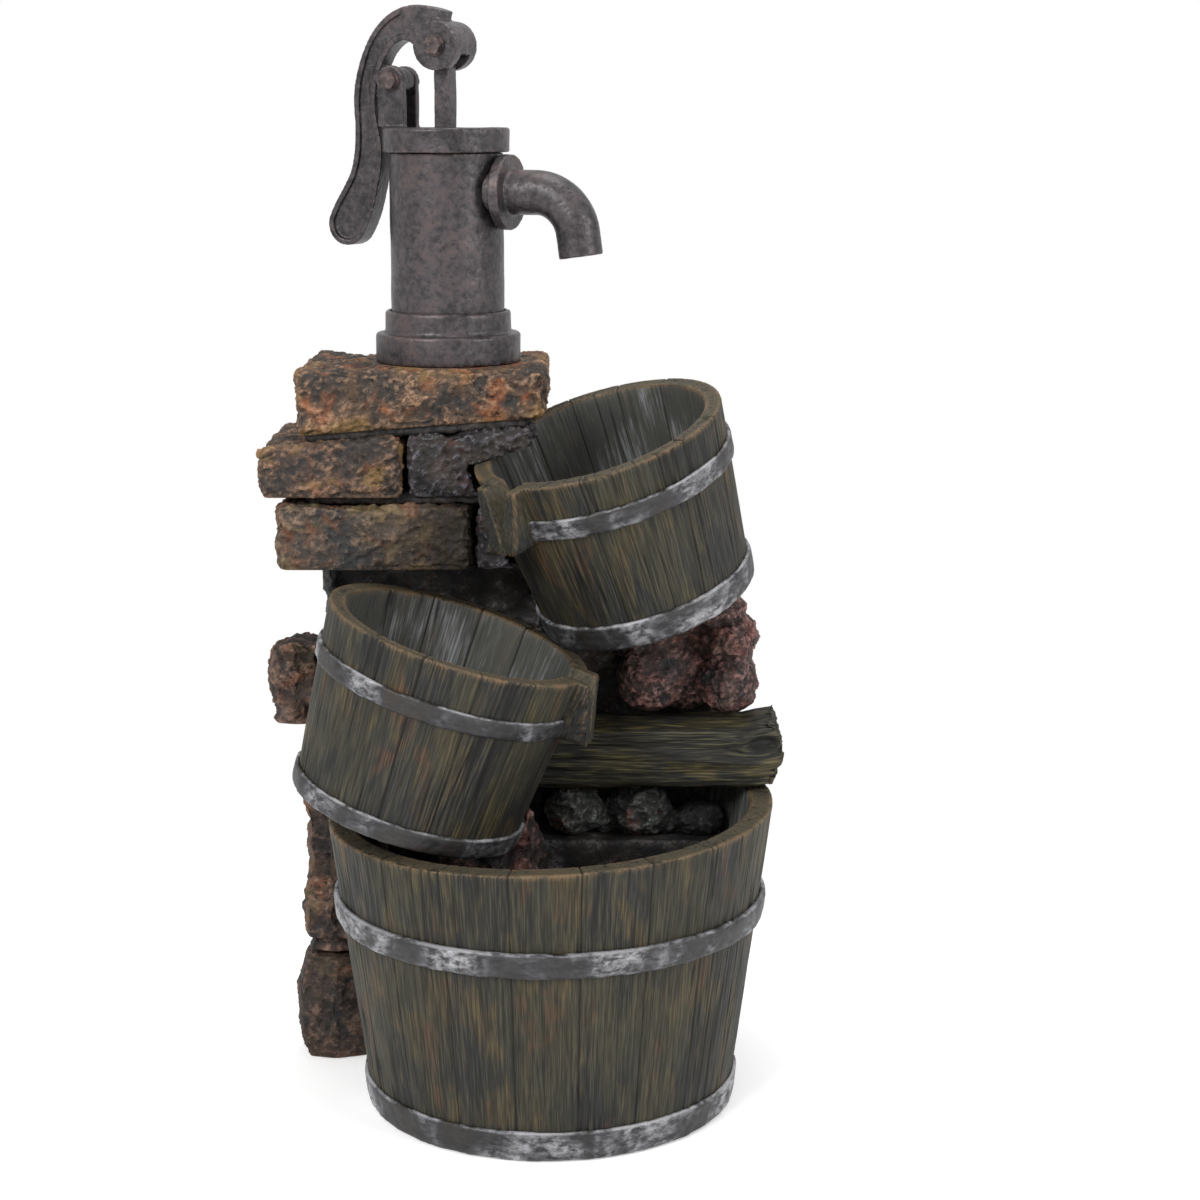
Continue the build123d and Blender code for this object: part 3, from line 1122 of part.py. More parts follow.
with BuildLine(lever_plane) as spout_path:
    Line((SPOUT_TAIL_X, SPOUT_LEVEL), (SPOUT_RUN_X, SPOUT_LEVEL))
    spout_turn = RadiusArc(
        (SPOUT_RUN_X, SPOUT_LEVEL),
        (SPOUT_RUN_X + SPOUT_BEND_R * sin(radians(SPOUT_BEND)),
         SPOUT_LEVEL - SPOUT_BEND_R * (1 - cos(radians(SPOUT_BEND)))),
        SPOUT_BEND_R,
    )
    Line(spout_turn @ 1, spout_turn @ 1 + (spout_turn % 1) * SPOUT_DROP)
with BuildPart() as spout:
    for reach, radius, thick in ((SPOUT_TAIL_X, SPOUT_NECK_R, SPOUT_COLLAR_X - SPOUT_TAIL_X),
                                 (SPOUT_COLLAR_X, SPOUT_COLLAR_R, SPOUT_COLLAR_THICK)):
        with BuildSketch(spout_line.offset(reach)):
            Circle(radius)
            Circle(SPOUT_BORE_R, mode=Mode.SUBTRACT)
        extrude(amount=thick)
    add(tube(spout_path.line, SPOUT_R, SPOUT_BORE_R))
save(spout.part, "spout")

with BuildPart() as spout_grommet:
    with BuildSketch(spout_line.offset(SPOUT_TAIL_X)):
        Circle(SPOUT_BORE_R - RUN_GAP)
        Circle(ELBOW_R + RUN_GAP, mode=Mode.SUBTRACT)
    extrude(amount=GROMMET_LENGTH)
save(spout_grommet.part, "spout_grommet")

with BuildLine(lever_plane) as elbow_path:
    FilletPolyline((RISER_X, ELBOW_BOTTOM), (RISER_X, SPOUT_LEVEL), (ELBOW_END_X, SPOUT_LEVEL),
                   radius=ELBOW_BEND_R)
save(tube(elbow_path.line, ELBOW_R, ELBOW_BORE_R), "spout_elbow")

sub_foot = BASIN_FLOOR + CUP_HEIGHT
sub_top = sub_foot + SUB_HEIGHT
nozzle_x, nozzle_y = SUB_X + NOZZLE_SHIFT_X, SUB_Y + NOZZLE_SHIFT_Y
hose_foot = sub_top + SEAT_GAP
with BuildLine() as hose_path:
    FilletPolyline(
        (nozzle_x, nozzle_y, hose_foot), (nozzle_x, nozzle_y, hose_foot + HOSE_RUN),
        (riser_at.X, riser_at.Y, CHAMBER_TOP + CORE_WALL), (riser_at.X, riser_at.Y, HOSE_TOP),
        radius=HOSE_BEND_R,
    )
save(tube(hose_path.line, HOSE_R, HOSE_BORE_R), "riser_hose")

# Submersible pump: housing, rotor chamber, covers and feet.
rotor_x, rotor_z = SUB_X + ROTOR_SHIFT_X, sub_foot + SUB_HEIGHT / 2
sub_front, sub_back = SUB_Y - SUB_WIDTH / 2, SUB_Y + SUB_WIDTH / 2
house_front = sub_front + STRAINER_THICK - STRAINER_LAP
chamber_front = house_front + CHAMBER_COVER
rotor_face = chamber_front + IMPELLER_THICK + 2 * ROTOR_RUN
chamber_r = IMPELLER_R + ROTOR_RUN
sub_left, sub_right = SUB_X - SUB_LENGTH / 2, SUB_X + SUB_LENGTH / 2


def facing_front(depth_y):
    """Plane across the rotor axis at a place along Y, facing the front."""
    return Plane(origin=(rotor_x, depth_y, rotor_z), x_dir=(1, 0, 0), z_dir=(0, -1, 0))


cup_y = SUB_Y + STRAINER_THICK / 2
cup_spots = (SUB_LENGTH - 2 * CUP_INSET, SUB_WIDTH - STRAINER_THICK - 2 * CUP_INSET)
lap_inset = STRAINER_WALL + SLIDE_GAP
with BuildPart() as pump_housing:
    add(plan_box(sub_left, sub_right, house_front + STRAINER_LAP, sub_back, sub_foot, sub_top))
    chamfer(pump_housing.edges().filter_by(Axis.Z), SUB_EDGE)
    add(plan_box(sub_left + lap_inset, sub_right - lap_inset, house_front, house_front + 2 * STRAINER_LAP,
                 sub_foot + lap_inset, sub_top - lap_inset))
    with BuildSketch(facing_front(house_front)):
        Circle(chamber_r + CHAMBER_COVER)
    extrude(amount=-CHAMBER_COVER, mode=Mode.SUBTRACT)
    with BuildSketch(facing_front(chamber_front)):
        Circle(chamber_r)
    extrude(amount=chamber_front - rotor_face, mode=Mode.SUBTRACT)
    with BuildSketch(facing_front(rotor_face)):
        Circle(ROTOR_R + ROTOR_RUN)
    extrude(amount=-ROTOR_LENGTH - ROTOR_RUN, mode=Mode.SUBTRACT)
    with BuildSketch(facing_front(rotor_face)):
        Circle(SHAFT_R + RUN_GAP)
    extrude(amount=-ROTOR_LENGTH - ROTOR_RUN - SHAFT_SEAT, mode=Mode.SUBTRACT)
    add(plan_box(nozzle_x - NOZZLE_BORE_R, rotor_x, chamber_front + ROTOR_RUN, rotor_face, rotor_z,
                 rotor_z + chamber_r), mode=Mode.SUBTRACT)
    add(plan_box(nozzle_x - NOZZLE_BORE_R, nozzle_x + NOZZLE_BORE_R, rotor_face - ROTOR_RUN, nozzle_y,
                 rotor_z + chamber_r / 3, rotor_z + chamber_r), mode=Mode.SUBTRACT)
    with Locations((nozzle_x, nozzle_y, sub_top)):
        Cylinder(NOZZLE_R + RUN_GAP, 2 * NOZZLE_TAIL, mode=Mode.SUBTRACT)
        Cylinder(NOZZLE_BORE_R, sub_top - rotor_z - chamber_r / 3,
                 align=(Align.CENTER, Align.CENTER, Align.MAX), mode=Mode.SUBTRACT)
    with Locations((SUB_X, cup_y, sub_foot)):
        with GridLocations(*cup_spots, 2, 2):
            Cylinder(CUP_STEM_R + RUN_GAP, 2 * CUP_HEIGHT, mode=Mode.SUBTRACT)
    with Locations((SUB_X, sub_back, sub_foot + 2 * GLAND_R)):
        Cylinder(GLAND_R + RUN_GAP, GLAND_LENGTH, rotation=(90, 0, 0), mode=Mode.SUBTRACT)
save(pump_housing.part, "pump_housing")

with BuildPart() as pump_nozzle:
    with BuildSketch(Plane.XY.offset(sub_top - NOZZLE_TAIL)):
        with Locations((nozzle_x, nozzle_y)):
            Circle(NOZZLE_R)
            Circle(NOZZLE_BORE_R, mode=Mode.SUBTRACT)
    extrude(amount=NOZZLE_TAIL + NOZZLE_HEIGHT)
save(pump_nozzle.part, "pump_nozzle")

with BuildPart() as pump_chamber_cover:
    with BuildSketch(facing_front(house_front)):
        Circle(chamber_r + CHAMBER_COVER - SEAT_GAP)
        Circle(SHAFT_R + RUN_GAP, mode=Mode.SUBTRACT)
        with PolarLocations(IMPELLER_R / 2, INLET_EYES):
            Circle(EYE_R, mode=Mode.SUBTRACT)
    extrude(amount=-CHAMBER_COVER)
save(pump_chamber_cover.part, "pump_chamber_cover")

with BuildPart() as pump_shaft:
    with BuildSketch(facing_front(house_front)):
        Circle(SHAFT_R)
    extrude(amount=house_front - rotor_face - ROTOR_LENGTH - ROTOR_RUN - SHAFT_SEAT)
save(pump_shaft.part, "pump_shaft")

with BuildPart() as pump_impeller:
    with BuildSketch(facing_front(rotor_face - ROTOR_RUN)):
        Circle(IMPELLER_R)
    extrude(amount=BLADE_THICK)
    with BuildSketch(facing_front(rotor_face - ROTOR_RUN)):
        with PolarLocations(IMPELLER_R / 2, IMPELLER_BLADES):
            Rectangle(IMPELLER_R, BLADE_THICK)
        Circle(2 * SHAFT_R)
    extrude(amount=IMPELLER_THICK)
    with BuildSketch(facing_front(rotor_face - ROTOR_RUN)):
        Circle(ROTOR_R)
    extrude(amount=-ROTOR_LENGTH)
    with BuildSketch(facing_front(house_front)):
        Circle(SHAFT_R + RUN_GAP)
    extrude(amount=-2 * SUB_WIDTH, mode=Mode.SUBTRACT)
    with BuildSketch(facing_front(house_front)):
        Circle(2 * IMPELLER_R)
        Circle(IMPELLER_R, mode=Mode.SUBTRACT)
    extrude(amount=-2 * SUB_WIDTH, mode=Mode.SUBTRACT)
save(pump_impeller.part, "pump_impeller")

knob_x = sub_right - KNOB_INSET
with BuildPart() as pump_strainer_cover:
    add(plan_box(sub_left, sub_right, sub_front, sub_front + STRAINER_THICK, sub_foot, sub_top))
    chamfer(pump_strainer_cover.edges().filter_by(Axis.Y), STRAINER_WALL)
    add(plan_box(sub_left + STRAINER_WALL, sub_right - STRAINER_WALL, sub_front + STRAINER_WALL,
                 sub_front + 2 * STRAINER_THICK, sub_foot + STRAINER_WALL, sub_top - STRAINER_WALL),
        mode=Mode.SUBTRACT)
    with BuildSketch(Plane(origin=(SUB_X - KNOB_INSET / 2, sub_front, rotor_z), x_dir=(1, 0, 0),
                           z_dir=(0, -1, 0))):
        with GridLocations(STRAINER_PITCH, STRAINER_PITCH, STRAINER_SLOTS, 1):
            SlotOverall(SUB_HEIGHT - 2 * KNOB_R, STRAINER_PITCH / 2, rotation=90)
    extrude(amount=-STRAINER_WALL, mode=Mode.SUBTRACT)
    with BuildSketch(Plane(origin=(knob_x, sub_front, rotor_z), x_dir=(1, 0, 0), z_dir=(0, -1, 0))):
        Circle(KNOB_STEM_R + RUN_GAP)
    extrude(amount=-STRAINER_WALL, mode=Mode.SUBTRACT)
save(pump_strainer_cover.part, "pump_strainer_cover")

knob_face = Plane(origin=(knob_x, sub_front - SEAT_GAP, rotor_z), x_dir=(1, 0, 0), z_dir=(0, -1, 0))
with BuildPart() as pump_flow_knob:
    with BuildSketch(knob_face):
        Circle(KNOB_R)
        with PolarLocations(KNOB_R, KNOB_GRIPS):
            Circle(KNOB_GRIP_R, mode=Mode.SUBTRACT)
    extrude(amount=KNOB_THICK)
    with BuildSketch(knob_face):
        Circle(KNOB_STEM_R)
    extrude(amount=-STRAINER_WALL - SEAT_GAP - KNOB_TAIL)
save(pump_flow_knob.part, "pump_flow_knob")

with BuildPart() as pump_suction_cups:
    with Locations((SUB_X, cup_y, BASIN_FLOOR)):
        with GridLocations(*cup_spots, 2, 2):
            Cone(CUP_R, CUP_STEM_R * 2, CUP_HEIGHT, align=up_from)
            Cylinder(CUP_STEM_R, 2 * CUP_HEIGHT - SEAT_GAP, align=up_from)
save(pump_suction_cups.part, "pump_suction_cups")

gland_face = Plane(origin=(SUB_X, sub_back - GLAND_LENGTH / 2, sub_foot + 2 * GLAND_R), x_dir=(1, 0, 0),
                   z_dir=(0, 1, 0))
with BuildPart() as pump_cable_gland:
    with BuildSketch(gland_face):
        Circle(GLAND_R)
        Circle(GLAND_BORE_R, mode=Mode.SUBTRACT)
    extrude(amount=GLAND_LENGTH)
save(pump_cable_gland.part, "pump_cable_gland")
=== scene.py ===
"""Looks of the cascade garden fountain: timber tubs with worn hoops, rough masonry and an iron hand pump.

The classes hold their sizes in millimetres; the meshes are in metres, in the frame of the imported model.
"""

import sys

import json
import logging
import math
from collections.abc import Callable, Sequence
from dataclasses import dataclass, field
from enum import IntEnum

import bmesh
import bpy
import numpy as np
from mathutils import Euler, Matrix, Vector

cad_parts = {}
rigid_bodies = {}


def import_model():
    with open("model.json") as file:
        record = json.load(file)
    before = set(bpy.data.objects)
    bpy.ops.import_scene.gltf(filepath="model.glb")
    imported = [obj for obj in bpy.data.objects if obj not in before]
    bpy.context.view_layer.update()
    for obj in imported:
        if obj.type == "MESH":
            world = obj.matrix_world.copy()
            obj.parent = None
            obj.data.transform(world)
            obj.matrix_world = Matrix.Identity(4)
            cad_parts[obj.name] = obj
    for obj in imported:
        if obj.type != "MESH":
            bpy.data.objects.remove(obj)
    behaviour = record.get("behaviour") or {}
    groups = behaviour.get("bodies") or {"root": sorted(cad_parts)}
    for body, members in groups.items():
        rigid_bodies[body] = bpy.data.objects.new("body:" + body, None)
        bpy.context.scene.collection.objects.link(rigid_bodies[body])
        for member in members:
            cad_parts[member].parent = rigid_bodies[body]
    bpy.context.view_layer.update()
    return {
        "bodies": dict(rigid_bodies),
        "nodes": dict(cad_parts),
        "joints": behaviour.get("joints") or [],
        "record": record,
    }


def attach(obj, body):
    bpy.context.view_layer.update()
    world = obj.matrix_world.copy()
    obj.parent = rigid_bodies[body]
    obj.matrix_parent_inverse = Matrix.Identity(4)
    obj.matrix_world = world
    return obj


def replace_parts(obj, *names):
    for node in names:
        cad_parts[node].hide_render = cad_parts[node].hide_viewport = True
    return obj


LOG = logging.getLogger("fountain")
MM = 0.001
FAR = 60.0  # millimetres, what a distance says where nothing is near
TINY = 1e-6

WHITE = (1.0, 1.0, 1.0, 1.0)

Point = tuple[float, float, float]
Rgb = tuple[int, int, int]
Linear = tuple[float, float, float, float]


class Side(IntEnum):
    """Which part of a tub a point lies on."""

    OUTSIDE = 0
    RIM = 1
    INSIDE = 2
    FLOOR = 3


def paint(colour: Rgb) -> Linear:
    """Turns a colour as seen on screen, 0 to 255, into a linear one with full alpha."""
    return (*(pow(c / 255, 2.2) for c in colour), 1.0)


def _operator(operation: str, swapped: bool = False) -> Callable[["Sock", "Feed"], "Sock"]:
    """Makes the method of a socket that adds a Math node.

    Args:
        operation: The node's operation.
        swapped: Whether the second value comes first, as where a number stands before the socket.

    Returns:
        The method, which takes the second value and returns the node's output.
    """

    def method(self: "Sock", other: "Feed") -> "Sock":
        """Adds the node."""
        return self._math(operation, other, swapped)

    return method


class Sock:
    """An output of a node tree that takes part in Python sums.

    Its methods above and below give the larger and the smaller of two values.
    """

    def __init__(self, net: "Net", socket: bpy.types.NodeSocket) -> None:
        """Holds the socket and the net that it belongs to."""
        self.net = net
        self.socket = socket

    def _math(self, operation: str, other: "Feed" = 0.0, swapped: bool = False) -> "Sock":
        """Adds a Math node.

        Args:
            operation: The node's operation.
            other: The second value.
            swapped: Whether the second value comes first.

        Returns:
            The node's output.
        """
        pair = (other, self) if swapped else (self, other)
        return self.net.node("ShaderNodeMath", {"operation": operation}, dict(enumerate(pair)))

    def __abs__(self) -> "Sock":
        """Size without its sign."""
        return self._math("ABSOLUTE")

    __add__ = __radd__ = _operator("ADD")
    __sub__ = _operator("SUBTRACT")
    __rsub__ = _operator("SUBTRACT", swapped=True)
    __mul__ = __rmul__ = _operator("MULTIPLY")
    __truediv__ = _operator("DIVIDE")
    __rtruediv__ = _operator("DIVIDE", swapped=True)
    __pow__ = _operator("POWER")
    above = _operator("MAXIMUM")
    below = _operator("MINIMUM")

    def rounded(self) -> "Sock":
        """The nearest whole number."""
        return self._math("ROUND")

    def step(self, low: float, high: float, start: float = 0.0, end: float = 1.0) -> "Sock":
        """Smooth step.

        Args:
            low: Value at which the step starts.
            high: Value at which it ends.
            start: Result below low.
            end: Result above high.

        Returns:
            The stepped value.
        """
        return self.net.node(
            "ShaderNodeMapRange", {"interpolation_type": "SMOOTHSTEP"},
            {0: self, 1: low, 2: high, 3: start, 4: end},
        )


Feed = Sock | float | int | str | bool | Sequence[float] | bpy.types.Material


class Net:
    """A node tree under construction."""

    def __init__(self, tree: bpy.types.NodeTree) -> None:
        """Holds the tree."""
        self.tree = tree

    def node(
        self, kind: str, settings: dict | None = None, feeds: dict | None = None, out: int | str = 0
    ) -> Sock:
        """Adds a node.

        Args:
            kind: The node's type.
            settings: Its properties, set first.
            feeds: Values or links by socket name or number.
            out: Output to return.

        Returns:
            The chosen output, or the first input of a node that ends a tree, which nothing reads.
        """
        made = self.tree.nodes.new(kind)
        for key, value in (settings or {}).items():
            setattr(made, key, value)
        for key, value in (feeds or {}).items():
            if isinstance(value, Sock):
                self.tree.links.new(value.socket, made.inputs[key])
            else:
                made.inputs[key].default_value = value
        return Sock(self, made.outputs[out] if made.outputs else made.inputs[0])

    def scaled(self, vector: Feed, by: Sequence[float]) -> Sock:
        """Multiplies a vector by another, axis by axis."""
        return self.node("ShaderNodeVectorMath", {"operation": "MULTIPLY"}, {0: vector, 1: by})

    def moved(self, vector: Feed, by: Feed) -> Sock:
        """Adds two vectors."""
        return self.node("ShaderNodeVectorMath", {"operation": "ADD"}, {0: vector, 1: by})

    def times(self, vector: Feed, by: Feed) -> Sock:
        """Multiplies a vector by a number."""
        return self.node("ShaderNodeVectorMath", {"operation": "SCALE"}, {0: vector, "Scale": by})

    def noise(
        self, vector: Feed, size: float, detail: float = 3.0, rough: float = 0.55, warp: float = 0.0,
        shift: float = 0.0,
    ) -> Sock:
        """Soft noise.

        Args:
            vector: Where it is read.
            size: Size of its largest features, in millimetres.
            detail: Number of finer layers.
            rough: Weight of the finer layers.
            warp: How far it twists.
            shift: Distance by which the pattern is moved, so that no two are alike.

        Returns:
            A value round 0.5.
        """
        place = self.moved(vector, (shift, shift * 0.7, -shift)) if shift else vector
        feeds = {"Vector": place, "Scale": 1 / (size * MM), "Detail": detail, "Roughness": rough}
        return self.node("ShaderNodeTexNoise", None, {**feeds, "Distortion": warp})

    def cracks(self, vector: Feed, size: float) -> Sock:
        """Distance to the edges of cells of a size in millimetres."""
        feeds = {"Vector": vector, "Scale": 1 / (size * MM)}
        return self.node("ShaderNodeTexVoronoi", {"feature": "DISTANCE_TO_EDGE"}, feeds)

    def part(self, vector: Feed, axis: int) -> Sock:
        """One of a vector's three numbers."""
        return self.node("ShaderNodeSeparateXYZ", None, {0: vector}, axis)

    def mix(self, first: Feed, second: Feed, share: Feed) -> Sock:
        """Mixes two colours."""
        return self.node("ShaderNodeMix", {"data_type": "RGBA"}, {0: share, 6: first, 7: second}, 2)

    def coats(self, ground: Feed, *layers: tuple[Rgb, Feed]) -> Feed:
        """Lays coats of paint over a ground.

        Args:
            ground: The linear colour below.
            *layers: Each coat's colour and how much of it covers.

        Returns:
            The colour on top.
        """
        for colour, share in layers:
            ground = self.mix(ground, paint(colour), share)
        return ground

    def ray(self, kind: str) -> Sock:
        """Whether the light path that sees the surface is of a kind."""
        return self.node("ShaderNodeLightPath", out=kind)


class ShaderNet(Net):
    """Node tree of a material."""

    def __init__(self, name: str) -> None:
        """Starts an empty material."""
        self.material = bpy.data.materials.new(name)
        self.material.use_nodes = True
        self.material.node_tree.nodes.clear()
        super().__init__(self.material.node_tree)

    def place(self) -> Sock:
        """Object coordinates."""
        return self.node("ShaderNodeTexCoord", out="Object")

    def point(self, name: str, out: str = "Fac") -> Sock:
        """Reads an attribute of the mesh."""
        return self.node(
            "ShaderNodeAttribute", {"attribute_type": "GEOMETRY", "attribute_name": name}, out=out
        )

    def ridges(self, low: float, high: float) -> Sock:
        """Sharp convex places, as a step over how pointed they are."""
        return self.node("ShaderNodeNewGeometry", out="Pointiness").step(low, high)

    def bump(self, height: Feed, deep: float, strength: float = 1.0) -> Sock:
        """Surface relief of a depth in millimetres."""
        feeds = {"Height": height, "Distance": deep * MM, "Strength": strength}
        return self.node("ShaderNodeBump", None, feeds)

    def close(self, **feeds: Feed) -> bpy.types.Material:
        """Ends the material in a Principled shader.

        Args:
            **feeds: Its sockets, with spaces written as underscores.

        Returns:
            The material.
        """
        sockets = {key.replace("_", " "): value for key, value in feeds.items()}
        shader = self.node("ShaderNodeBsdfPrincipled", None, sockets)
        self.node("ShaderNodeOutputMaterial", None, {"Surface": shader})
        return self.material


class ShapeNet(Net):
    """Geometry node tree that works on the surface of a piece."""

    def __init__(self, name: str, inputs: dict[str, float]) -> None:
        """Starts a tree.

        Args:
            name: The tree's name.
            inputs: Its sizes, with their usual values.
        """
        tree = bpy.data.node_groups.new(name, "GeometryNodeTree")
        tree.interface.new_socket("Geometry", in_out="INPUT", socket_type="NodeSocketGeometry")
        tree.interface.new_socket("Finish", in_out="INPUT", socket_type="NodeSocketMaterial")
        for key, value in inputs.items():
            size = tree.interface.new_socket(key, in_out="INPUT", socket_type="NodeSocketFloat")
            size.default_value = value
        tree.interface.new_socket("Geometry", in_out="OUTPUT", socket_type="NodeSocketGeometry")
        super().__init__(tree)
        self.group = tree.nodes.new("NodeGroupInput")

    def given(self, name: str) -> Sock:
        """One of the tree's inputs."""
        return Sock(self, self.group.outputs[name])

    def position(self) -> Sock:
        """Position of a point."""
        return self.node("GeometryNodeInputPosition")

    def normal(self) -> Sock:
        """Normal at a point."""
        return self.node("GeometryNodeInputNormal")

    def point(self, name: str, kind: str = "FLOAT") -> Sock:
        """Reads an attribute of the mesh."""
        return self.node("GeometryNodeInputNamedAttribute", {"data_type": kind}, {"Name": name})

    def stored(self, shape: Feed, name: str, value: Feed) -> Sock:
        """Writes a number on the points of a mesh."""
        return self.node(
            "GeometryNodeStoreNamedAttribute", {"data_type": "FLOAT", "domain": "POINT"},
            {"Geometry": shape, "Name": name, "Value": value},
        )

    def finish(self, shape: Feed, offset: Feed) -> bpy.types.NodeTree:
        """Moves the surface, makes the result real and gives it its finish.

        Args:
            shape: The mesh so far.
            offset: By how much each point moves.

        Returns:
            The finished tree.
        """
        moved = self.node("GeometryNodeSetPosition", None, {"Geometry": shape, "Offset": offset})
        real = self.node("GeometryNodeRealizeInstances", None, {"Geometry": moved})
        dressed = self.node(
            "GeometryNodeSetMaterial", None, {"Geometry": real, "Material": self.given("Finish")}
        )
        self.node("NodeGroupOutput", None, {0: dressed})
        return self.tree


@dataclass(frozen=True)
class TimberFinish:
    """Cast resin painted as old barrel wood: fine dark grain over charcoal and olive, with ochre and rust."""

    name: str
    dark: Rgb = (17, 16, 15)
    charcoal: Rgb = (34, 35, 34)
    olive: Rgb = (51, 49, 38)
    light: Rgb = (83, 78, 61)
    ochre: Rgb = (98, 81, 50)
    rust: Rgb = (94, 62, 42)
    rim: Rgb = (78, 70, 54)
    hollow: Rgb = (93, 94, 90)
    hollow_light: Rgb = (150, 153, 158)
    edge: Rgb = (114, 92, 66)
    shift: float = 0.0
    fibre_size: float = 0.85
    strand_size: float = 1.9
    hair_size: float = 3.2
    cloud_size: float = 30.0
    drift_size: float = 17.0
    blush_size: float = 23.0
    worn_width: float = 4.4

    def material(self) -> bpy.types.Material:
        """Builds the material.

        Returns:
            The material, which reads the attributes that the tubs and the beam carry.
        """
        net = ShaderNet(self.name)
        grain_at = net.point("grain_co", "Vector")
        relief, crevice = net.point("relief"), net.point("crevice")
        side, edge, stave = net.point("side"), net.point("edge"), net.point("stave")

        def streaks(
            drawn: float, size: float, detail: float, rough: float, warp: float, shift: float = 0.0
        ) -> Sock:
            """Noise that is drawn out along the grain, its pace there being a share of that across."""
            along = net.scaled(grain_at, (1.0, 1.0, drawn))
            return net.noise(along, size, detail, rough, warp, self.shift + shift)

        fibres = streaks(0.05, self.fibre_size, 1.0, 0.5, 0.1)
        strands = streaks(0.03, self.strand_size, 3.0, 0.6, 0.15, 1.3)
        hair = abs(streaks(0.02, self.hair_size, 1.0, 0.5, 0.1, 7.1) - 0.5)
        cloud = streaks(0.5, self.cloud_size, 4.0, 0.6, 0.5, 2.1)
        drift = streaks(0.4, self.drift_size, 3.0, 0.6, 0.4, 3.7)
        blush = streaks(0.4, self.blush_size, 3.0, 0.6, 0.6, 5.9)
        tint = net.node(
            "ShaderNodeTexWhiteNoise", {"noise_dimensions": "1D"}, {"W": stave.rounded() + self.shift}
        )
        lines = (fibres.step(0.34, 0.62) * 0.6 + strands.step(0.34, 0.64) * 0.4) * hair.step(0.0, 0.03, 0.35)
        bright = (fibres * 0.6 + strands * 0.4).step(0.48, 0.7)
        warmer = (cloud + tint * 0.16 - 0.08).step(0.4, 0.6)
        colour = net.coats(
            paint(self.charcoal), (self.olive, warmer), (self.light, bright * (0.3 + cloud * 0.5)),
            (self.ochre, (bright * 0.7 + 0.3) * drift.step(0.5, 0.66) * 0.6),
            (self.rust, blush.step(0.57, 0.72) * lines * 0.7),
        )
        lit = (lines * 0.85 + relief * 0.25).step(0.0, 0.7) * 0.7 + 0.3
        colour = net.mix(paint(self.dark), colour, lit)
        top = side.step(0.4, 0.8) * side.step(1.6, 1.2)
        rim = net.coats(colour, (self.rim, lines * 0.5 + 0.35))
        colour = net.mix(colour, rim, top * 0.8)
        pale = (strands * 0.5 + fibres * 0.3 + drift * 0.3).step(0.5, 0.7) * cloud.step(0.45, 0.6) * 0.7
        lining = net.mix(paint(self.hollow), colour, 0.5)
        colour = net.mix(colour, net.coats(lining, (self.hollow_light, pale)), side.step(1.4, 1.6))
        near_edge = edge.step(0.0, self.worn_width * MM, 1.0, 0.0)
        worn = near_edge * (fibres * 0.4 + blush * 0.9).step(0.52, 0.82)
        ridge = net.ridges(0.515, 0.58) * (fibres * 0.5 + drift * 0.6).step(0.4, 0.66)
        worn = (worn * 0.75).above(ridge * 0.7)
        colour = net.coats(colour, (self.edge, worn), (self.dark, (1 - crevice) * 0.9))
        rough = 0.74 - lines * 0.12 - worn * 0.1
        bumps = net.bump(fibres * 0.7 + strands * 0.6, 0.55, 0.85)
        return net.close(Base_Color=colour, Roughness=rough, Normal=bumps, Specular_IOR_Level=0.36)


@dataclass(frozen=True)
class HoopFinish:
    """Cast hoops painted dull silver over black, worn bright in places and on their top edge; these bright
    marks are partly painted glints and highlights.
    """

    name: str = "worn_and_glint_hoop"
    dark: Rgb = (27, 27, 28)
    body: Rgb = (56, 56, 58)
    bright: Rgb = (176, 176, 180)
    brown: Rgb = (54, 48, 42)
    brush_size: float = 3.4
    cloud_size: float = 30.0
    speck_size: float = 1.6

    def material(self) -> bpy.types.Material:
        """Builds the material, brushed along the hoop, with bright patches and a bright top edge that are
        partly painted glints.
        """
        net = ShaderNet(self.name)
        at, across, relief = net.point("band_co", "Vector"), net.point("across"), net.point("relief")
        brushed = net.noise(net.scaled(at, (0.5, 0.5, 1.0)), self.brush_size, 4.0, 0.66, 0.3)
        cloud = net.noise(net.scaled(at, (0.8, 0.8, 0.6)), self.cloud_size, 3.0, 0.55, 0.4)
        speck = net.noise(at, self.speck_size, 3.0, 0.65, 0.0, 0.8)
        # Bright patches: partly worn silver paint, partly painted glints and highlights.
        rubbed_and_glint = cloud.step(0.44, 0.66) * (brushed * 0.85 + relief * 0.15).step(0.4, 0.7)
        # Bright top edge: partly edge wear, partly a painted highlight along the upper edge, which faces the
        # light.
        top_edge_wear_and_glint = (across - 0.02).step(0.1, 0.0) * (brushed * 0.5 + cloud * 0.7).step(0.48, 0.7)
        colour = net.coats(
            paint(self.dark), (self.body, (cloud * 0.6 + brushed * 0.6).step(0.4, 0.72)),
            (self.bright, (rubbed_and_glint * 0.8).above(top_edge_wear_and_glint * 0.8)), (self.brown, cloud.step(0.46, 0.32) * 0.5),
            (self.dark, speck.step(0.4, 0.3) * 0.55),
        )
        bumps = net.bump(brushed + speck * 0.8, 0.22, 0.7)
        rough, metal = 0.55 - rubbed_and_glint * 0.14, rubbed_and_glint * 0.25 + 0.15
        return net.close(Base_Color=colour, Roughness=rough, Metallic=metal, Normal=bumps)


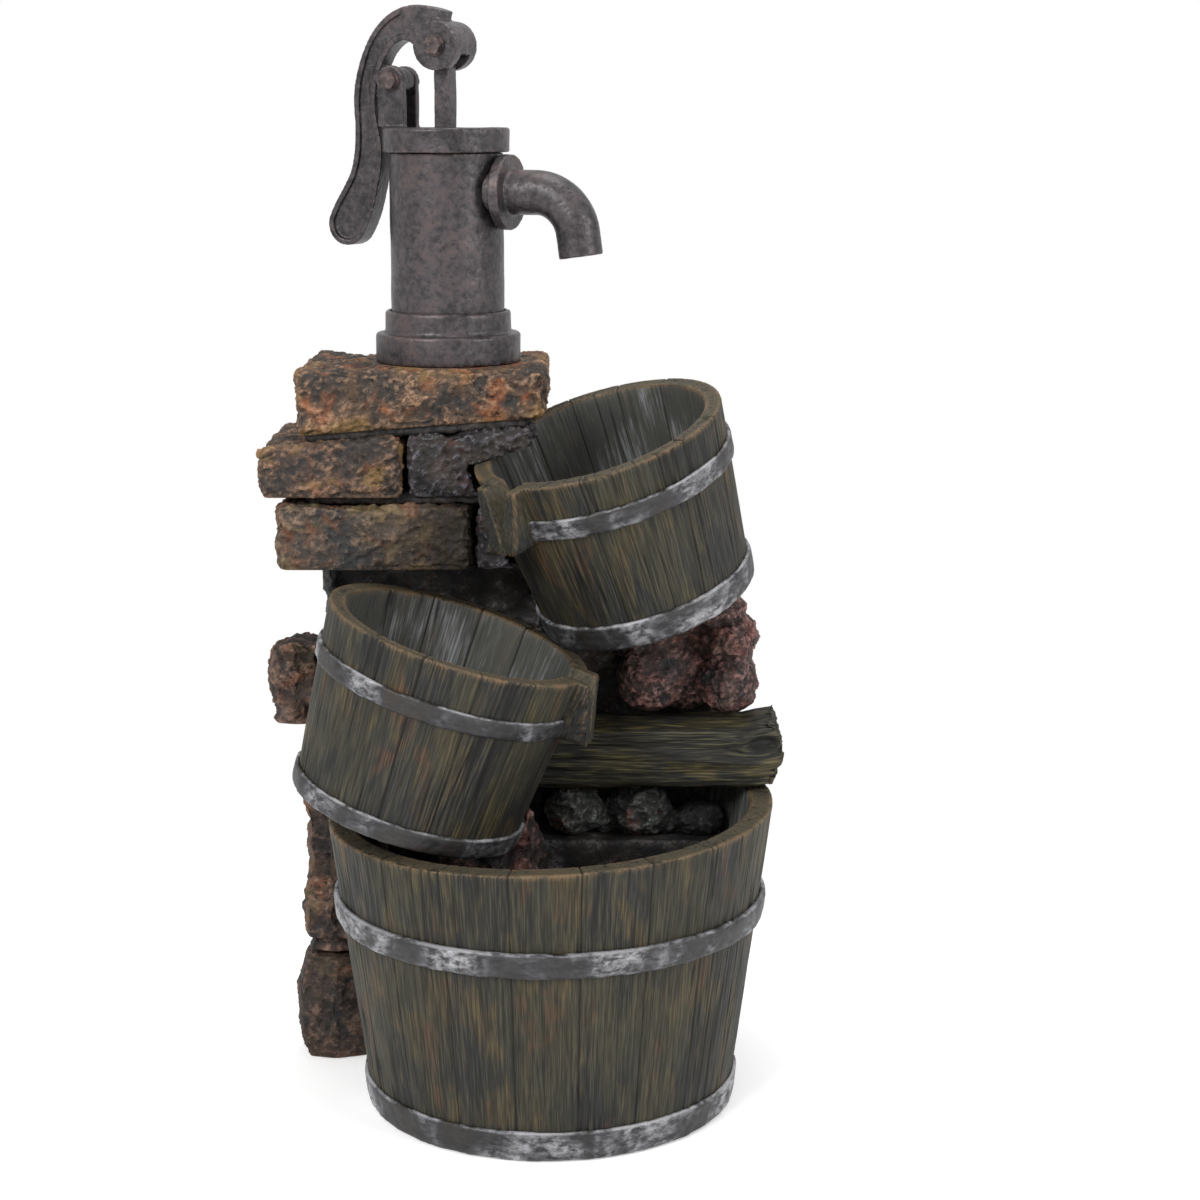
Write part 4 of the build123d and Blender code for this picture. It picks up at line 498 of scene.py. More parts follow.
@dataclass(frozen=True)
class StoneFinish:
    """Cast brick or stone: fine dry-brushed ridges over pits, in soft zones of grey, brown and orange.

    The painted shade, a shadow painted by darkening towards greater X, is where it darkens, as a stretch of X
    in millimetres; its usual value lies past the object.
    """

    name: str
    pit: Rgb = (24, 21, 20)
    body: Rgb = (82, 66, 54)
    light: Rgb = (170, 134, 105)
    warm: Rgb = (136, 80, 50)
    ochre: Rgb = (120, 95, 58)
    grey: Rgb = (50, 47, 45)
    grey_share: float = 0.8
    brush: float = 1.0
    web: float = 0.0
    painted_shade: tuple[float, float] = (400.0, 440.0)
    shift: float = 0.0
    zone_size: float = 30.0
    warmth_size: float = 21.0
    coarse_size: float = 19.0
    stipple_size: float = 2.3
    fleck_size: float = 5.5
    vein_size: float = 6.0

    def material(self) -> bpy.types.Material:
        """Builds the material, which follows the relief that the surface carries."""
        net = ShaderNet(self.name)
        at, relief, crevice = net.place(), net.point("relief"), net.point("crevice")
        zones = net.noise(at, self.zone_size, 3.0, 0.55, 0.8, self.shift)
        warmth = net.noise(at, self.warmth_size, 3.0, 0.6, 0.8, self.shift + 0.31)
        coarse = net.noise(at, self.coarse_size, 3.0, 0.6, 0.6, self.shift + 3.3).step(0.4, 0.6)
        flattened = net.scaled(at, (0.8, 0.8, 1.0))
        stipple = net.noise(flattened, self.stipple_size, 3.0, 0.62, 1.2, self.shift + 0.77)
        fleck = net.noise(at, self.fleck_size, 4.0, 0.6, 1.0, self.shift + 1.9)
        sway = net.node("ShaderNodeTexNoise", None, {"Vector": at, "Scale": 140.0, "Detail": 2.0}, 1)
        bent = net.moved(at, net.times(sway, 5.0 * MM))
        veins = net.cracks(bent, self.vein_size).step(0.16, 0.0) * fleck.step(0.4, 0.6) * coarse
        raised = stipple * 0.55 + relief * 0.35 + fleck * 0.25
        brushed = raised.step(0.58, 0.78) * (coarse * 0.55 + 0.3) * self.brush
        worn = net.ridges(0.505, 0.57) * fleck.step(0.35, 0.6) * 0.6
        # Painted shadow: past this stretch of X the surface darkens towards the pit colour.
        painted_shade = (net.part(at, 0) / MM + fleck * 20).step(*self.painted_shade)
        colour = net.coats(
            paint(self.grey), (self.body, zones.step(0.38, 0.54)),
            (self.ochre, zones.step(0.52, 0.64) * 0.85), (self.warm, warmth.step(0.53, 0.68) * 0.75),
            (self.light, brushed), (self.light, (veins * self.web).above(worn)),
            (self.pit, raised.step(0.56, 0.44) * (coarse * 0.55 + 0.4)),
            (self.grey, zones.step(0.47, 0.33) * self.grey_share),
            # Pit colour in the joints between stones and, past the stretch of X, as painted shadow.
            (self.pit, (1 - crevice).above(painted_shade) * 0.8),
        )
        bumps = net.bump(stipple * 0.8 + fleck * 0.6 + veins * self.web * 0.5, 1.2, 0.9)
        rough = 0.82 - raised * 0.25
        return net.close(Base_Color=colour, Roughness=rough, Normal=bumps, Specular_IOR_Level=0.35)


@dataclass(frozen=True)
class IronFinish:
    """Cast iron look of the hand pump: brown black, pitted, with rust on the worn places."""

    name: str = "cast_iron"
    dark: Rgb = (34, 31, 32)
    body: Rgb = (74, 69, 72)
    rust: Rgb = (94, 72, 62)
    bright: Rgb = (122, 116, 118)

    def material(self) -> bpy.types.Material:
        """Builds the material from rust patches, pits and a satin skin."""
        net = ShaderNet(self.name)
        at = net.place()
        cloud = net.noise(at, 30.0, 4.0, 0.6, 0.6)
        skin = net.noise(at, 4.2, 5.0, 0.66, 0.3, 0.4)
        holes = net.noise(at, 2.0, 2.0, 0.5, 0.0, 1.1).step(0.27, 0.38)
        edge = net.ridges(0.5, 0.56)
        colour = net.coats(
            paint(self.dark), (self.body, (cloud * 0.45 + skin * 0.75).step(0.42, 0.74)),
            (self.rust, (cloud * 0.7 + skin * 0.5).step(0.6, 0.84) * 0.45),
            (self.rust, edge * skin.step(0.38, 0.6) * 0.5), (self.bright, edge * skin.step(0.5, 0.7) * 0.3),
            (self.dark, (1 - holes) * 0.7),
        )
        rough = 0.36 + cloud * 0.16 - skin * 0.08
        bumps = net.bump(skin * 0.5 + holes * 0.35, 0.3, 0.6)
        return net.close(Base_Color=colour, Roughness=rough, Metallic=0.3, Normal=bumps)


@dataclass(frozen=True)
class MouldedFinish:
    """Plain moulded, turned or rubber parts: an even colour with a fine skin and some dust."""

    name: str
    colour: Rgb
    fleck: Rgb
    rough: float = 0.6
    metal: float = 0.0
    grain: float = 0.8
    deep: float = 0.05

    def material(self) -> bpy.types.Material:
        """Builds the material from a fine skin and soft patches."""
        net = ShaderNet(self.name)
        at = net.place()
        skin = net.noise(at, self.grain, 3.0, 0.6)
        dust = net.noise(at, 14.0, 4.0, 0.6, 0.5, 0.6)
        colour = net.coats(paint(self.colour), (self.fleck, dust.step(0.45, 0.7) * 0.6 + skin * 0.15))
        rough = self.rough + (dust - 0.5) * 0.25
        bumps = net.bump(skin, self.deep)
        return net.close(Base_Color=colour, Roughness=rough, Metallic=self.metal, Normal=bumps)


class OldTimberTree:
    """Geometry nodes that weather a timber surface: grain, cracks, dents and stave joints."""

    def __init__(self) -> None:
        """Builds the tree."""
        net = ShapeNet(
            "old_timber",
            {"Grain depth": 0.4, "Dent depth": 0.5, "Crack depth": 0.9, "Joint depth": 1.0,
             "Joint half width": 1.1, "Seed": 0.0},
        )
        shift = net.node("ShaderNodeCombineXYZ", None, {0: net.given("Seed"), 1: net.given("Seed")})
        at = net.moved(net.point("grain_co", "FLOAT_VECTOR"), shift)
        fibres = net.noise(net.scaled(at, (1.0, 1.0, 0.035)), 2.1, 2.0, 0.5, 0.2).step(0.3, 0.68)
        dents = net.noise(net.scaled(at, (1.0, 1.0, 0.22)), 18.0, 2.0, 0.5, 0.4).step(0.25, 0.75)
        split = net.noise(net.scaled(at, (1.0, 1.0, 0.03)), 9.0, 1.0, 0.4, 0.2)
        crack = abs(split - 0.5).step(0.0, 0.035)
        rare = net.noise(net.scaled(at, (1.0, 1.0, 0.3)), 26.0, 1.0).step(0.46, 0.56)
        crack = 1 - (1 - crack) * rare
        joint = (net.point("seam") / net.given("Joint half width") / MM).step(0.15, 1.0)
        keep = net.point("keep")
        depth = (
            (1 - fibres) * net.given("Grain depth") + (1 - dents) * net.given("Dent depth")
            + (1 - crack) * net.given("Crack depth")
        ) * keep + (1 - joint) * net.given("Joint depth")
        shape = net.stored(net.given("Geometry"), "relief", fibres * 0.6 + dents * 0.4)
        shape = net.stored(shape, "crevice", crack.below(joint))
        self.tree = net.finish(shape, net.times(net.normal(), depth * -MM))


class RoughStoneTree:
    """Geometry nodes that lump, chip and pit a stone or a brick."""

    def __init__(self) -> None:
        """Builds the tree."""
        net = ShapeNet(
            "rough_stone",
            {"Lump depth": 0.0, "Lump size": 34.0, "Swell depth": 2.0, "Swell size": 34.0, "Chip depth": 1.8,
             "Chip size": 11.0, "Pit depth": 0.9, "Pit size": 3.4, "Proud": 0.0, "Seed": 0.0, "Seat": 1.0,
             "Quiet X": 0.0, "Quiet Y": 0.0, "Quiet radius": 0.0},
        )
        where = net.position()
        shift = net.node("ShaderNodeCombineXYZ", None, {0: net.given("Seed"), 2: net.given("Seed")})
        at = net.moved(where, shift)
        flat_at = net.scaled(at, (0.7, 0.7, 1.0))

        def noise(vector: Sock, size: str, share: float = 1.0, out: str | int = 0, **feeds: Feed) -> Sock:
            """Noise with features of one of the tree's sizes in millimetres, its pace times a share."""
            pace = 1 / MM / net.given(size)
            pace = pace if share == 1.0 else pace * share
            return net.node("ShaderNodeTexNoise", None, {"Vector": vector, "Scale": pace, **feeds}, out)

        def cells(vector: Sock, size: str, feature: str, **feeds: Feed) -> Sock:
            """Cells of one of the tree's sizes in millimetres."""
            pace = 1 / MM / net.given(size)
            return net.node(
                "ShaderNodeTexVoronoi", {"feature": feature}, {"Vector": vector, "Scale": pace, **feeds}
            )

        swell = noise(at, "Swell size", Detail=2.0, Distortion=0.4).step(0.28, 0.7)
        wobble = net.moved(noise(at, "Chip size", out=1), (-0.5, -0.5, -0.5))
        bent = net.moved(flat_at, net.times(wobble, 9.0 * MM))
        lumps = cells(net.moved(at, net.times(wobble, 12.0 * MM)), "Lump size", "DISTANCE_TO_EDGE")
        chips = cells(bent, "Chip size", "SMOOTH_F1", Smoothness=0.35).step(0.72, 0.12)
        veins = noise(bent, "Chip size", 0.9, Detail=3.0, Roughness=0.6, Distortion=1.2)
        ridges = 1 - abs(veins - 0.5).step(0.0, 0.13)
        pits = noise(flat_at, "Pit size", Detail=3.0, Roughness=0.62, Distortion=0.5).step(0.32, 0.62)
        rough = chips * 0.45 + ridges * 0.55
        under = (net.part(net.normal(), 2) * -1).step(0.6, 0.9)
        seat = 1 - under * net.given("Seat")
        gap_x = net.part(where, 0) / MM - net.given("Quiet X")
        gap_y = net.part(where, 1) / MM - net.given("Quiet Y")
        quiet = ((gap_x * gap_x + gap_y * gap_y) ** 0.5 - net.given("Quiet radius")).step(0.0, 9.0)
        depth = (
            (1 - lumps.step(0.0, 0.3)) * net.given("Lump depth") + (1 - swell) * net.given("Swell depth")
            + (1 - rough) * net.given("Chip depth") + (1 - pits) * net.given("Pit depth")
        ) * seat * (quiet * 0.92 + 0.08) - net.given("Proud") * quiet * (1 - under)
        lumpy = (net.given("Lump depth") * 0.25).below(1.0)
        shape = net.stored(net.given("Geometry"), "relief", rough * 0.5 + pits * 0.35 + swell * 0.15)
        shape = net.stored(shape, "crevice", 1 - (1 - lumps.step(0.0, 0.16)) * lumpy)
        push = net.times(net.normal(), depth * net.point("keep") * -MM)
        ground = net.node("ShaderNodeCombineXYZ", None, {0: -1.0, 1: -1.0, 2: net.part(where, 2) * -1})
        push = net.node("ShaderNodeVectorMath", {"operation": "MAXIMUM"}, {0: push, 1: ground})
        self.tree = net.finish(shape, push)


class CastSkinTree:
    """Geometry nodes that give a metal casting its slightly uneven skin."""

    def __init__(self) -> None:
        """Builds the tree."""
        inputs = {"Wave depth": 0.35, "Wave size": 24.0, "Pit depth": 0.16, "Pit size": 3.0}
        net = ShapeNet("cast_skin", inputs)
        at = net.position()

        def noise(size: str, detail: float) -> Sock:
            """Noise with features of one of the tree's sizes in millimetres."""
            pace = 1 / MM / net.given(size)
            feeds = {"Vector": at, "Scale": pace, "Detail": detail}
            return net.node("ShaderNodeTexNoise", None, feeds)

        wave = noise("Wave size", 1.0).step(0.3, 0.7)
        pits = noise("Pit size", 2.0).step(0.3, 0.5)
        depth = (1 - wave) * net.given("Wave depth") + (1 - pits) * net.given("Pit depth")
        shape = net.stored(net.given("Geometry"), "relief", pits * 0.6 + wave * 0.4)
        self.tree = net.finish(shape, net.times(net.normal(), depth * -MM))


def weather(
    obj: bpy.types.Object, tree: bpy.types.NodeTree, finish: bpy.types.Material, **sizes: float
) -> bpy.types.Object:
    """Runs a geometry node tree on a piece and keeps the result as its plain mesh.

    Args:
        obj: The piece, with any other modifiers already on it.
        tree: The tree.
        finish: The material that the tree sets.
        **sizes: The tree's inputs, with spaces written as underscores.

    Returns:
        The piece.
    """
    modifier = obj.modifiers.new("weather", "NODES")
    modifier.node_group = tree
    named = {s.name: s.identifier for s in tree.interface.items_tree if s.in_out == "INPUT"}
    modifier[named["Finish"]] = finish
    for key, value in sizes.items():
        modifier[named[key.replace("_", " ")]] = value
    return settled(obj)


def settled(obj: bpy.types.Object) -> bpy.types.Object:
    """Replaces a piece's mesh by what its modifiers make of it, smooth shaded, and removes them.

    Args:
        obj: The piece.

    Returns:
        The piece.
    """
    graph = bpy.context.evaluated_depsgraph_get()
    mesh = bpy.data.meshes.new_from_object(obj.evaluated_get(graph))
    obj.modifiers.clear()
    obj.data = mesh
    mesh.shade_smooth()
    LOG.info("%s: %d faces", obj.name, len(mesh.polygons))
    return obj


def new_piece(name: str, mesh: bpy.types.Mesh) -> bpy.types.Object:
    """Puts a mesh in the scene as a piece at the origin."""
    obj = bpy.data.objects.new(name, mesh)
    bpy.context.scene.collection.objects.link(obj)
    return obj


def grid_mesh(
    name: str, rows: np.ndarray, start_pole: np.ndarray | None, end_pole: np.ndarray | None
) -> bpy.types.Mesh:
    """Closed mesh of rings, each row joined to the next and the last column to the first.

    Args:
        name: The mesh's name.
        rows: Points, as rows x columns x 3.
        start_pole: Point that closes the first row, or None where the rows close on themselves.
        end_pole: Point that closes the last row, or None likewise.

    Returns:
        The mesh. Its vertices are the rows in order, then the poles.
    """
    count, columns = rows.shape[:2]
    index = np.arange(count * columns).reshape(count, columns)
    after = np.roll(index, -1, axis=1)
    closed = start_pole is None
    low, high = (index, np.roll(index, -1, axis=0)) if closed else (index[:-1], index[1:])
    low_after, high_after = (after, np.roll(after, -1, axis=0)) if closed else (after[:-1], after[1:])
    quads = np.stack([low, low_after, high_after, high], axis=-1).reshape(-1, 4)
    points = rows.reshape(-1, 3)
    faces: list[tuple[int, ...]] = [tuple(q) for q in quads.tolist()]
    if not closed:
        start, end = len(points), len(points) + 1
        points = np.vstack([points, start_pole, end_pole])
        faces += [(start, b, a) for a, b in zip(index[0].tolist(), after[0].tolist(), strict=True)]
        faces += [(end, a, b) for a, b in zip(index[-1].tolist(), after[-1].tolist(), strict=True)]
    mesh = bpy.data.meshes.new(name)
    mesh.from_pydata(points.tolist(), [], faces)
    mesh.update()
    return mesh


def give(mesh: bpy.types.Mesh, name: str, values: np.ndarray) -> None:
    """Stores numbers or vectors on a mesh's points.

    Args:
        mesh: The mesh.
        name: The attribute's name.
        values: One number or three for each point.
    """
    vector = values.ndim == 2
    layer = mesh.attributes.new(name, "FLOAT_VECTOR" if vector else "FLOAT", "POINT")
    layer.data.foreach_set("vector" if vector else "value", values.astype(np.float32).ravel())


def points_of(mesh: bpy.types.Mesh) -> np.ndarray:
    """Positions of a mesh's points, in metres."""
    places = np.zeros(len(mesh.vertices) * 3, np.float32)
    mesh.vertices.foreach_get("co", places)
    return places.reshape(-1, 3)


@dataclass
class Seat:
    """Where a tub's rim centre is and how the tub leans."""

    origin: Point
    lean_right: float = 0.0
    lean_front: float = 0.0
    facing: float = 0.0

    def axes(self) -> tuple[np.ndarray, np.ndarray, np.ndarray]:
        """Works out the tub's own axes.

        Returns:
            The way it faces, the way to its left, and the way up its axis.
        """
        right, front = math.tan(math.radians(self.lean_right)), math.tan(math.radians(self.lean_front))
        up = np.array([right, -front, 1.0])
        up /= np.linalg.norm(up)
        turn = math.radians(self.facing)
        flat = np.array([math.cos(turn), math.sin(turn), 0.0])
        ahead = flat - up * flat.dot(up)
        ahead /= np.linalg.norm(ahead)
        return ahead, np.cross(up, ahead), up

    def placed(self, local: np.ndarray) -> np.ndarray:
        """Turns points in the tub's own axes into the row's frame.

        Args:
            local: Points in millimetres, last axis 3.

        Returns:
            The points in metres.
        """
        ahead, left, up = self.axes()
        world = local[..., :1] * ahead + local[..., 1:2] * left + local[..., 2:] * up
        return (world + np.array(self.origin)) * MM

    def local(self, world: np.ndarray) -> np.ndarray:
        """Turns points in the row's frame, in metres, into the tub's own axes in millimetres."""
        return (world / MM - np.array(self.origin)) @ np.array(self.axes()).T


@dataclass
class Hoop:
    """A band round a tub."""

    name: str
    drop: float
    height: float
    proud: float


@dataclass
class Lip:
    """Pouring lip of a bucket: a tapered block with a V channel."""

    overhang: float = 4.5
    foot_overhang: float = 13.5
    top_width: float = 35.0
    foot_width: float = 24.0
    depth: float = 36.0
    wall: float = 7.0

    def reach(self, turn: np.ndarray, level: np.ndarray, rim: float) -> np.ndarray:
        """How far the block stands from the axis.

        Args:
            turn: Angles from the lip.
            level: Heights from the rim, upwards.
            rim: The tub's rim radius.

        Returns:
            Distances, zero where there is no block.
        """
        half = self.top_width / 2 + (self.top_width - self.foot_width) / 2 * level / self.depth
        front = rim + self.overhang + (self.overhang - self.foot_overhang) * level / self.depth
        ahead = front / np.maximum(np.cos(turn), 1e-3)
        aside = half / np.maximum(np.abs(np.sin(turn)), 1e-3)
        there = (np.cos(turn) > 0.5) & (level >= -self.depth - TINY)
        return np.where(there, np.minimum(ahead, aside), 0.0)

    def channel(self, radius: np.ndarray, turn: np.ndarray) -> np.ndarray:
        """Level of the V channel's bed at a point, zero outside it."""
        half = self.top_width / 2 - self.wall
        aside = np.abs(radius * np.sin(turn))
        bed = -(self.depth - self.wall) * (1 - aside / half)
        return np.where((np.cos(turn) > 0.5) & (aside < half), bed, 0.0)


@dataclass
class Rings:
    """Rings of points, from which a tub's shell is made."""

    turn: np.ndarray
    rows: list[list[np.ndarray]] = field(default_factory=list)

    def add(
        self, radius: np.ndarray | float, level: np.ndarray | float, side: Side, edge: np.ndarray | float
    ) -> None:
        """Adds a ring.

        Args:
            radius: Its distance from the axis.
            level: Its height from the rim's centre.
            side: The part of the shell that it belongs to.
            edge: How far it is from the rim's edge.
        """
        values = (radius, level, float(side), edge)
        self.rows.append([np.broadcast_to(np.asarray(v, float), self.turn.shape) for v in values])

    def columns(self) -> list[np.ndarray]:
        """Radii, levels, sides and edge distances, each as rings x angles."""
        return [np.array(column) for column in zip(*self.rows, strict=True)]


@dataclass
class Tub:
    """Tapered tub of staves, with its hoops."""

    name: str
    seat: Seat
    rim: float
    foot: float
    depth: float
    wall: float
    floor: float
    staves: int
    hoops: tuple[Hoop, ...]
    columns: int
    rows: int
    first_half: float = 0.0
    lip: Lip | None = None
    rise: tuple[float, float] = (0.0, 0.0)
    room_for: "Tub | None" = None
    edge: float = 2.0
    floor_rings: int = 36
    board_joint_share: float = 0.6
    board: float = 23.0
    seed: int = 1
    hoop_rows: int = 14
    hoop_crown: float = 0.3
    hoop_edge: float = 0.35
    hoop_bevel: float = 0.12
    hoop_sunk: float = 0.6
    drain: Point | None = None
    drill_sides: int = 48
    drill_past: float = 5.0
    uneven: float = 0.35
    tightest: float = 2.6
    room: float = 2.7
    room_depth: float = 46.0
    room_step: float = 0.5
    rounding: float = 0.3
    rim_rings: int = 9
    crowding: float = 0.9
    calm: tuple[float, float] = (3.0, 0.25)
    board_number: float = 40.0
    board_grain: float = 31.0

    def radius(self, drop: np.ndarray | float) -> np.ndarray | float:
        """Outer radius at a distance below the rim."""
        return self.rim - (self.rim - self.foot) * drop / self.depth

    def inside(self, world: np.ndarray, grow: float) -> np.ndarray:
        """Whether points of the row's frame, in metres, lie in this tub's hull grown by some millimetres."""
        own = self.seat.local(world)
        reach = np.hypot(own[..., 0], own[..., 1])
        level = own[..., 2]
        return (level > -self.depth - grow) & (level < grow) & (reach < self.radius(-level) + grow)

    def crest(self, radius: np.ndarray, turn: np.ndarray) -> np.ndarray:
        """Level of the rim.

        Args:
            radius: Distances from the axis.
            turn: Angles from the way the tub faces.

        Returns:
            Levels over the rim's centre.
        """
        x, y = radius * np.cos(turn), radius * np.sin(turn)
        level = x * math.tan(math.radians(self.rise[0])) + y * math.tan(math.radians(self.rise[1]))
        chooser = np.random.default_rng(self.seed)
        steps = chooser.uniform(0.0, self.uneven, self.staves)
        level = level - steps[self.stave_of(turn)]
        if self.lip:
            level = np.minimum(level, self.lip.channel(radius, turn))
        if self.room_for:
            level = np.minimum(level, self._room_under(x, y))
        return level

    def _room_under(self, x: np.ndarray, y: np.ndarray) -> np.ndarray:
        """Finds how low the rim has to stay for the tub that stands in it.

        Args:
            x: Places ahead of the axis.
            y: Places to its left.

        Returns:
            Levels, zero where the other tub is out of reach.
        """
        trial = np.arange(0.0, -self.room_depth, -self.room_step)
        tall = np.broadcast_to(trial[:, None], (len(trial), x.size)).reshape(-1)
        spots = np.stack([np.tile(x.ravel(), len(trial)), np.tile(y.ravel(), len(trial)), tall], axis=-1)
        hit = self.room_for.inside(self.seat.placed(spots), self.room).reshape(len(trial), -1)
        return np.where(hit, trial[:, None], 0.0).min(axis=0).reshape(x.shape)

    def joints(self) -> np.ndarray:
        """Angles of the joints between staves, from the way the tub faces."""
        first = self.first_half or 180 / self.staves
        step = (360 - 2 * first) / (self.staves - 1)
        return np.radians(first + np.arange(self.staves) * step)

    def stave_of(self, turn: np.ndarray) -> np.ndarray:
        """Number of the stave at each angle."""
        return np.searchsorted(self.joints(), np.mod(turn, 2 * math.pi)) % self.staves

    def joint_gap(self, turn: np.ndarray) -> np.ndarray:
        """Angle from each place to the nearest joint, told as more where the joint is a tight one."""
        tight = np.random.default_rng(self.seed + 10).uniform(1.0, self.tightest, self.staves)
        away = np.abs(np.mod(turn[..., None] - self.joints() + math.pi, 2 * math.pi) - math.pi)
        return (away * tight).min(axis=-1)

    def wall_at(self, turn: np.ndarray, level: np.ndarray) -> np.ndarray:
        """Outer radius at angles and levels, with the lip."""
        plain = self.radius(-level)
        return np.maximum(plain, self.lip.reach(turn, level, self.rim)) if self.lip else plain

    def _rings(self, turn: np.ndarray, bed: float) -> Rings:
        """Draws the shell: up the outside, over the rim, down the inside and over the floor.

        Args:
            turn: Angles of a ring's points.
            bed: Level of the floor.

        Returns:
            The rings, from the middle of the foot to that of the floor.
        """
        rings = Rings(turn)
        break_level = -self.lip.depth if self.lip else -self.depth * 0.5
        for radius in (self.foot * 0.55, self.foot - 3.0, self.foot - self.edge):
            rings.add(radius, -self.depth, Side.OUTSIDE, FAR)
        lower = max(6, int(self.rows * (self.depth + break_level) / self.depth))
        for level in np.linspace(-self.depth + self.edge, break_level - 0.3, lower):
            rings.add(self.radius(-level), level, Side.OUTSIDE, FAR)
        top = self.crest(self.wall_at(turn, np.zeros_like(turn)), turn)
        outer_top = self.wall_at(turn, top)
        for share in np.linspace(0.0, 1.0, max(6, self.rows - lower)) ** self.crowding:
            level = break_level + (top - self.edge - break_level) * share
            rings.add(self.wall_at(turn, level), level, Side.OUTSIDE, top - level)
        inner_top = self.radius(-top) - self.wall
        eased = self.rounding * self.edge
        rings.add(outer_top - eased, top - eased, Side.RIM, 0.0)
        for share in np.linspace(0.0, 1.0, self.rim_rings):
            radius = outer_top - self.edge + (inner_top - outer_top + 2 * self.edge) * share
            nearest = np.minimum(outer_top - radius, radius - inner_top)
            rings.add(radius, self.crest(radius, turn), Side.RIM, nearest)
        inner_level = self.crest(inner_top, turn)
        rings.add(inner_top + eased, inner_level - eased, Side.RIM, 0.0)
        for share in np.linspace(0.0, 1.0, max(8, self.rows // 2)):
            level = inner_level - self.edge + (bed + self.edge - inner_level + self.edge) * share
            rings.add(self.radius(-level) - self.wall, level, Side.INSIDE, inner_level - level)
        for share in np.linspace(0.985, 0.03, self.floor_rings):
            rings.add((self.radius(-bed) - self.wall) * share, bed, Side.FLOOR, FAR)
        return rings

    def shell(self) -> bpy.types.Mesh:
        """Builds the tub's shell.

        Returns:
            The mesh, with the attributes that the timber finish and tree read.
        """
        turn = np.linspace(0, 2 * math.pi, self.columns, endpoint=False)
        bed = -self.depth + self.floor
        radius, level, side, edge = self._rings(turn, bed).columns()
        turns = np.broadcast_to(turn, radius.shape)
        local = np.stack([radius * np.cos(turns), radius * np.sin(turns), level], axis=-1)
        poles = [self.seat.placed(np.array([0.0, 0.0, z])) for z in (-self.depth, bed)]
        mesh = grid_mesh(self.name, self.seat.placed(local), *poles)
        flat = (side == Side.FLOOR) | (level <= -self.depth + TINY)
        board = local[..., 1] / self.board - 0.5
        from_joint = np.abs(board - np.round(board)) * self.board * self.board_joint_share
        seam = np.where(flat, from_joint, self.joint_gap(turns) * radius)
        if self.lip:
            seam = np.where(np.cos(turns) * radius > self.rim - 1.0, FAR, seam)
        stave = np.where(flat, np.round(board) + self.board_number, self.stave_of(turns))
        middle = (self.rim + self.foot) / 2
        reach = middle + radius - self.radius(-level)
        grain = np.stack([np.cos(turns) * reach, np.sin(turns) * reach, level], axis=-1)
        planks = np.stack([local[..., 1], np.full_like(level, self.board_grain), local[..., 0]], axis=-1)
        grain = np.where(flat[..., None], planks, grain) * MM
        width, least = self.calm
        marks = {
            "seam": seam * MM, "stave": stave.astype(float), "side": side, "edge": edge * MM,
            "keep": np.clip(edge / width, least, 1.0), "grain_co": grain,
        }
        for label, values in marks.items():
            first, last = values[0].mean(axis=0), values[-1].mean(axis=0)
            along = values.reshape(-1, *values.shape[2:])
            give(mesh, label, np.concatenate([along, first[None], last[None]]))
        return mesh

    def band(self, hoop: Hoop) -> bpy.types.Mesh:
        """Builds a hoop: a slightly crowned band with rounded edges, open where the lip stands.

        Args:
            hoop: The hoop.

        Returns:
            Its mesh.
        """
        gap = 0.0
        if self.lip and hoop.drop < self.lip.depth:
            gap = math.asin((self.lip.foot_width / 2 - 1.0) / self.rim)
        turn = np.linspace(gap, 2 * math.pi - gap, self.columns // 2, endpoint=bool(gap))
        shares = np.linspace(0.0, 1.0, self.hoop_rows)
        bulge = self.hoop_crown * (1 - (2 * shares - 1) ** 4)
        crown = hoop.proud * (1.0 - self.hoop_crown + bulge)
        crown[[0, -1]] = hoop.proud * self.hoop_edge
        levels = -hoop.drop - self.hoop_bevel - shares * (hoop.height - 2 * self.hoop_bevel)
        outer = [(self.radius(-z) + c, z) for z, c in zip(levels, crown, strict=True)]
        inner = [(self.radius(-z) - self.hoop_sunk, z) for z in (levels[-1], levels[0])]
        profile = np.array(outer[::-1] + inner[::-1])
        across = np.concatenate([shares[::-1], [0.0, 1.0]])
        ring = np.stack([
            np.outer(profile[:, 0], np.cos(turn)), np.outer(profile[:, 0], np.sin(turn)),
            np.repeat(profile[:, 1:], len(turn), axis=1),
        ], axis=-1)
        mesh = grid_mesh(hoop.name, self.seat.placed(ring), None, None)
        if gap:
            self._open_band(mesh, len(profile), len(turn))
        give(mesh, "across", np.repeat(across, len(turn)))
        give(mesh, "band_co", ring.reshape(-1, 3) * MM)
        return mesh

    def _drill(self, body: bpy.types.Object, wood: bpy.types.Material) -> None:
        """Cuts the drain hole through the floor.

        Args:
            body: The finished shell.
            wood: Its finish.
        """
        x, y, radius = self.drain
        turn = np.linspace(0, 2 * math.pi, self.drill_sides, endpoint=False)
        ring = np.stack([x + radius * np.cos(turn), y + radius * np.sin(turn), np.zeros_like(turn)], axis=-1)
        ends = (-self.drill_past, self.floor + self.drill_past)
        rows = np.stack([ring + (0.0, 0.0, z) for z in ends]) * MM
        poles = [np.array([x, y, z]) * MM for z in ends]
        tool = new_piece("drill", grid_mesh("drill", rows, *poles))
        tool.data.materials.append(wood)
        cut = body.modifiers.new("drill", "BOOLEAN")
        cut.object, cut.operation, cut.solver = tool, "DIFFERENCE", "MANIFOLD"
        settled(body)
        bpy.data.objects.remove(tool)

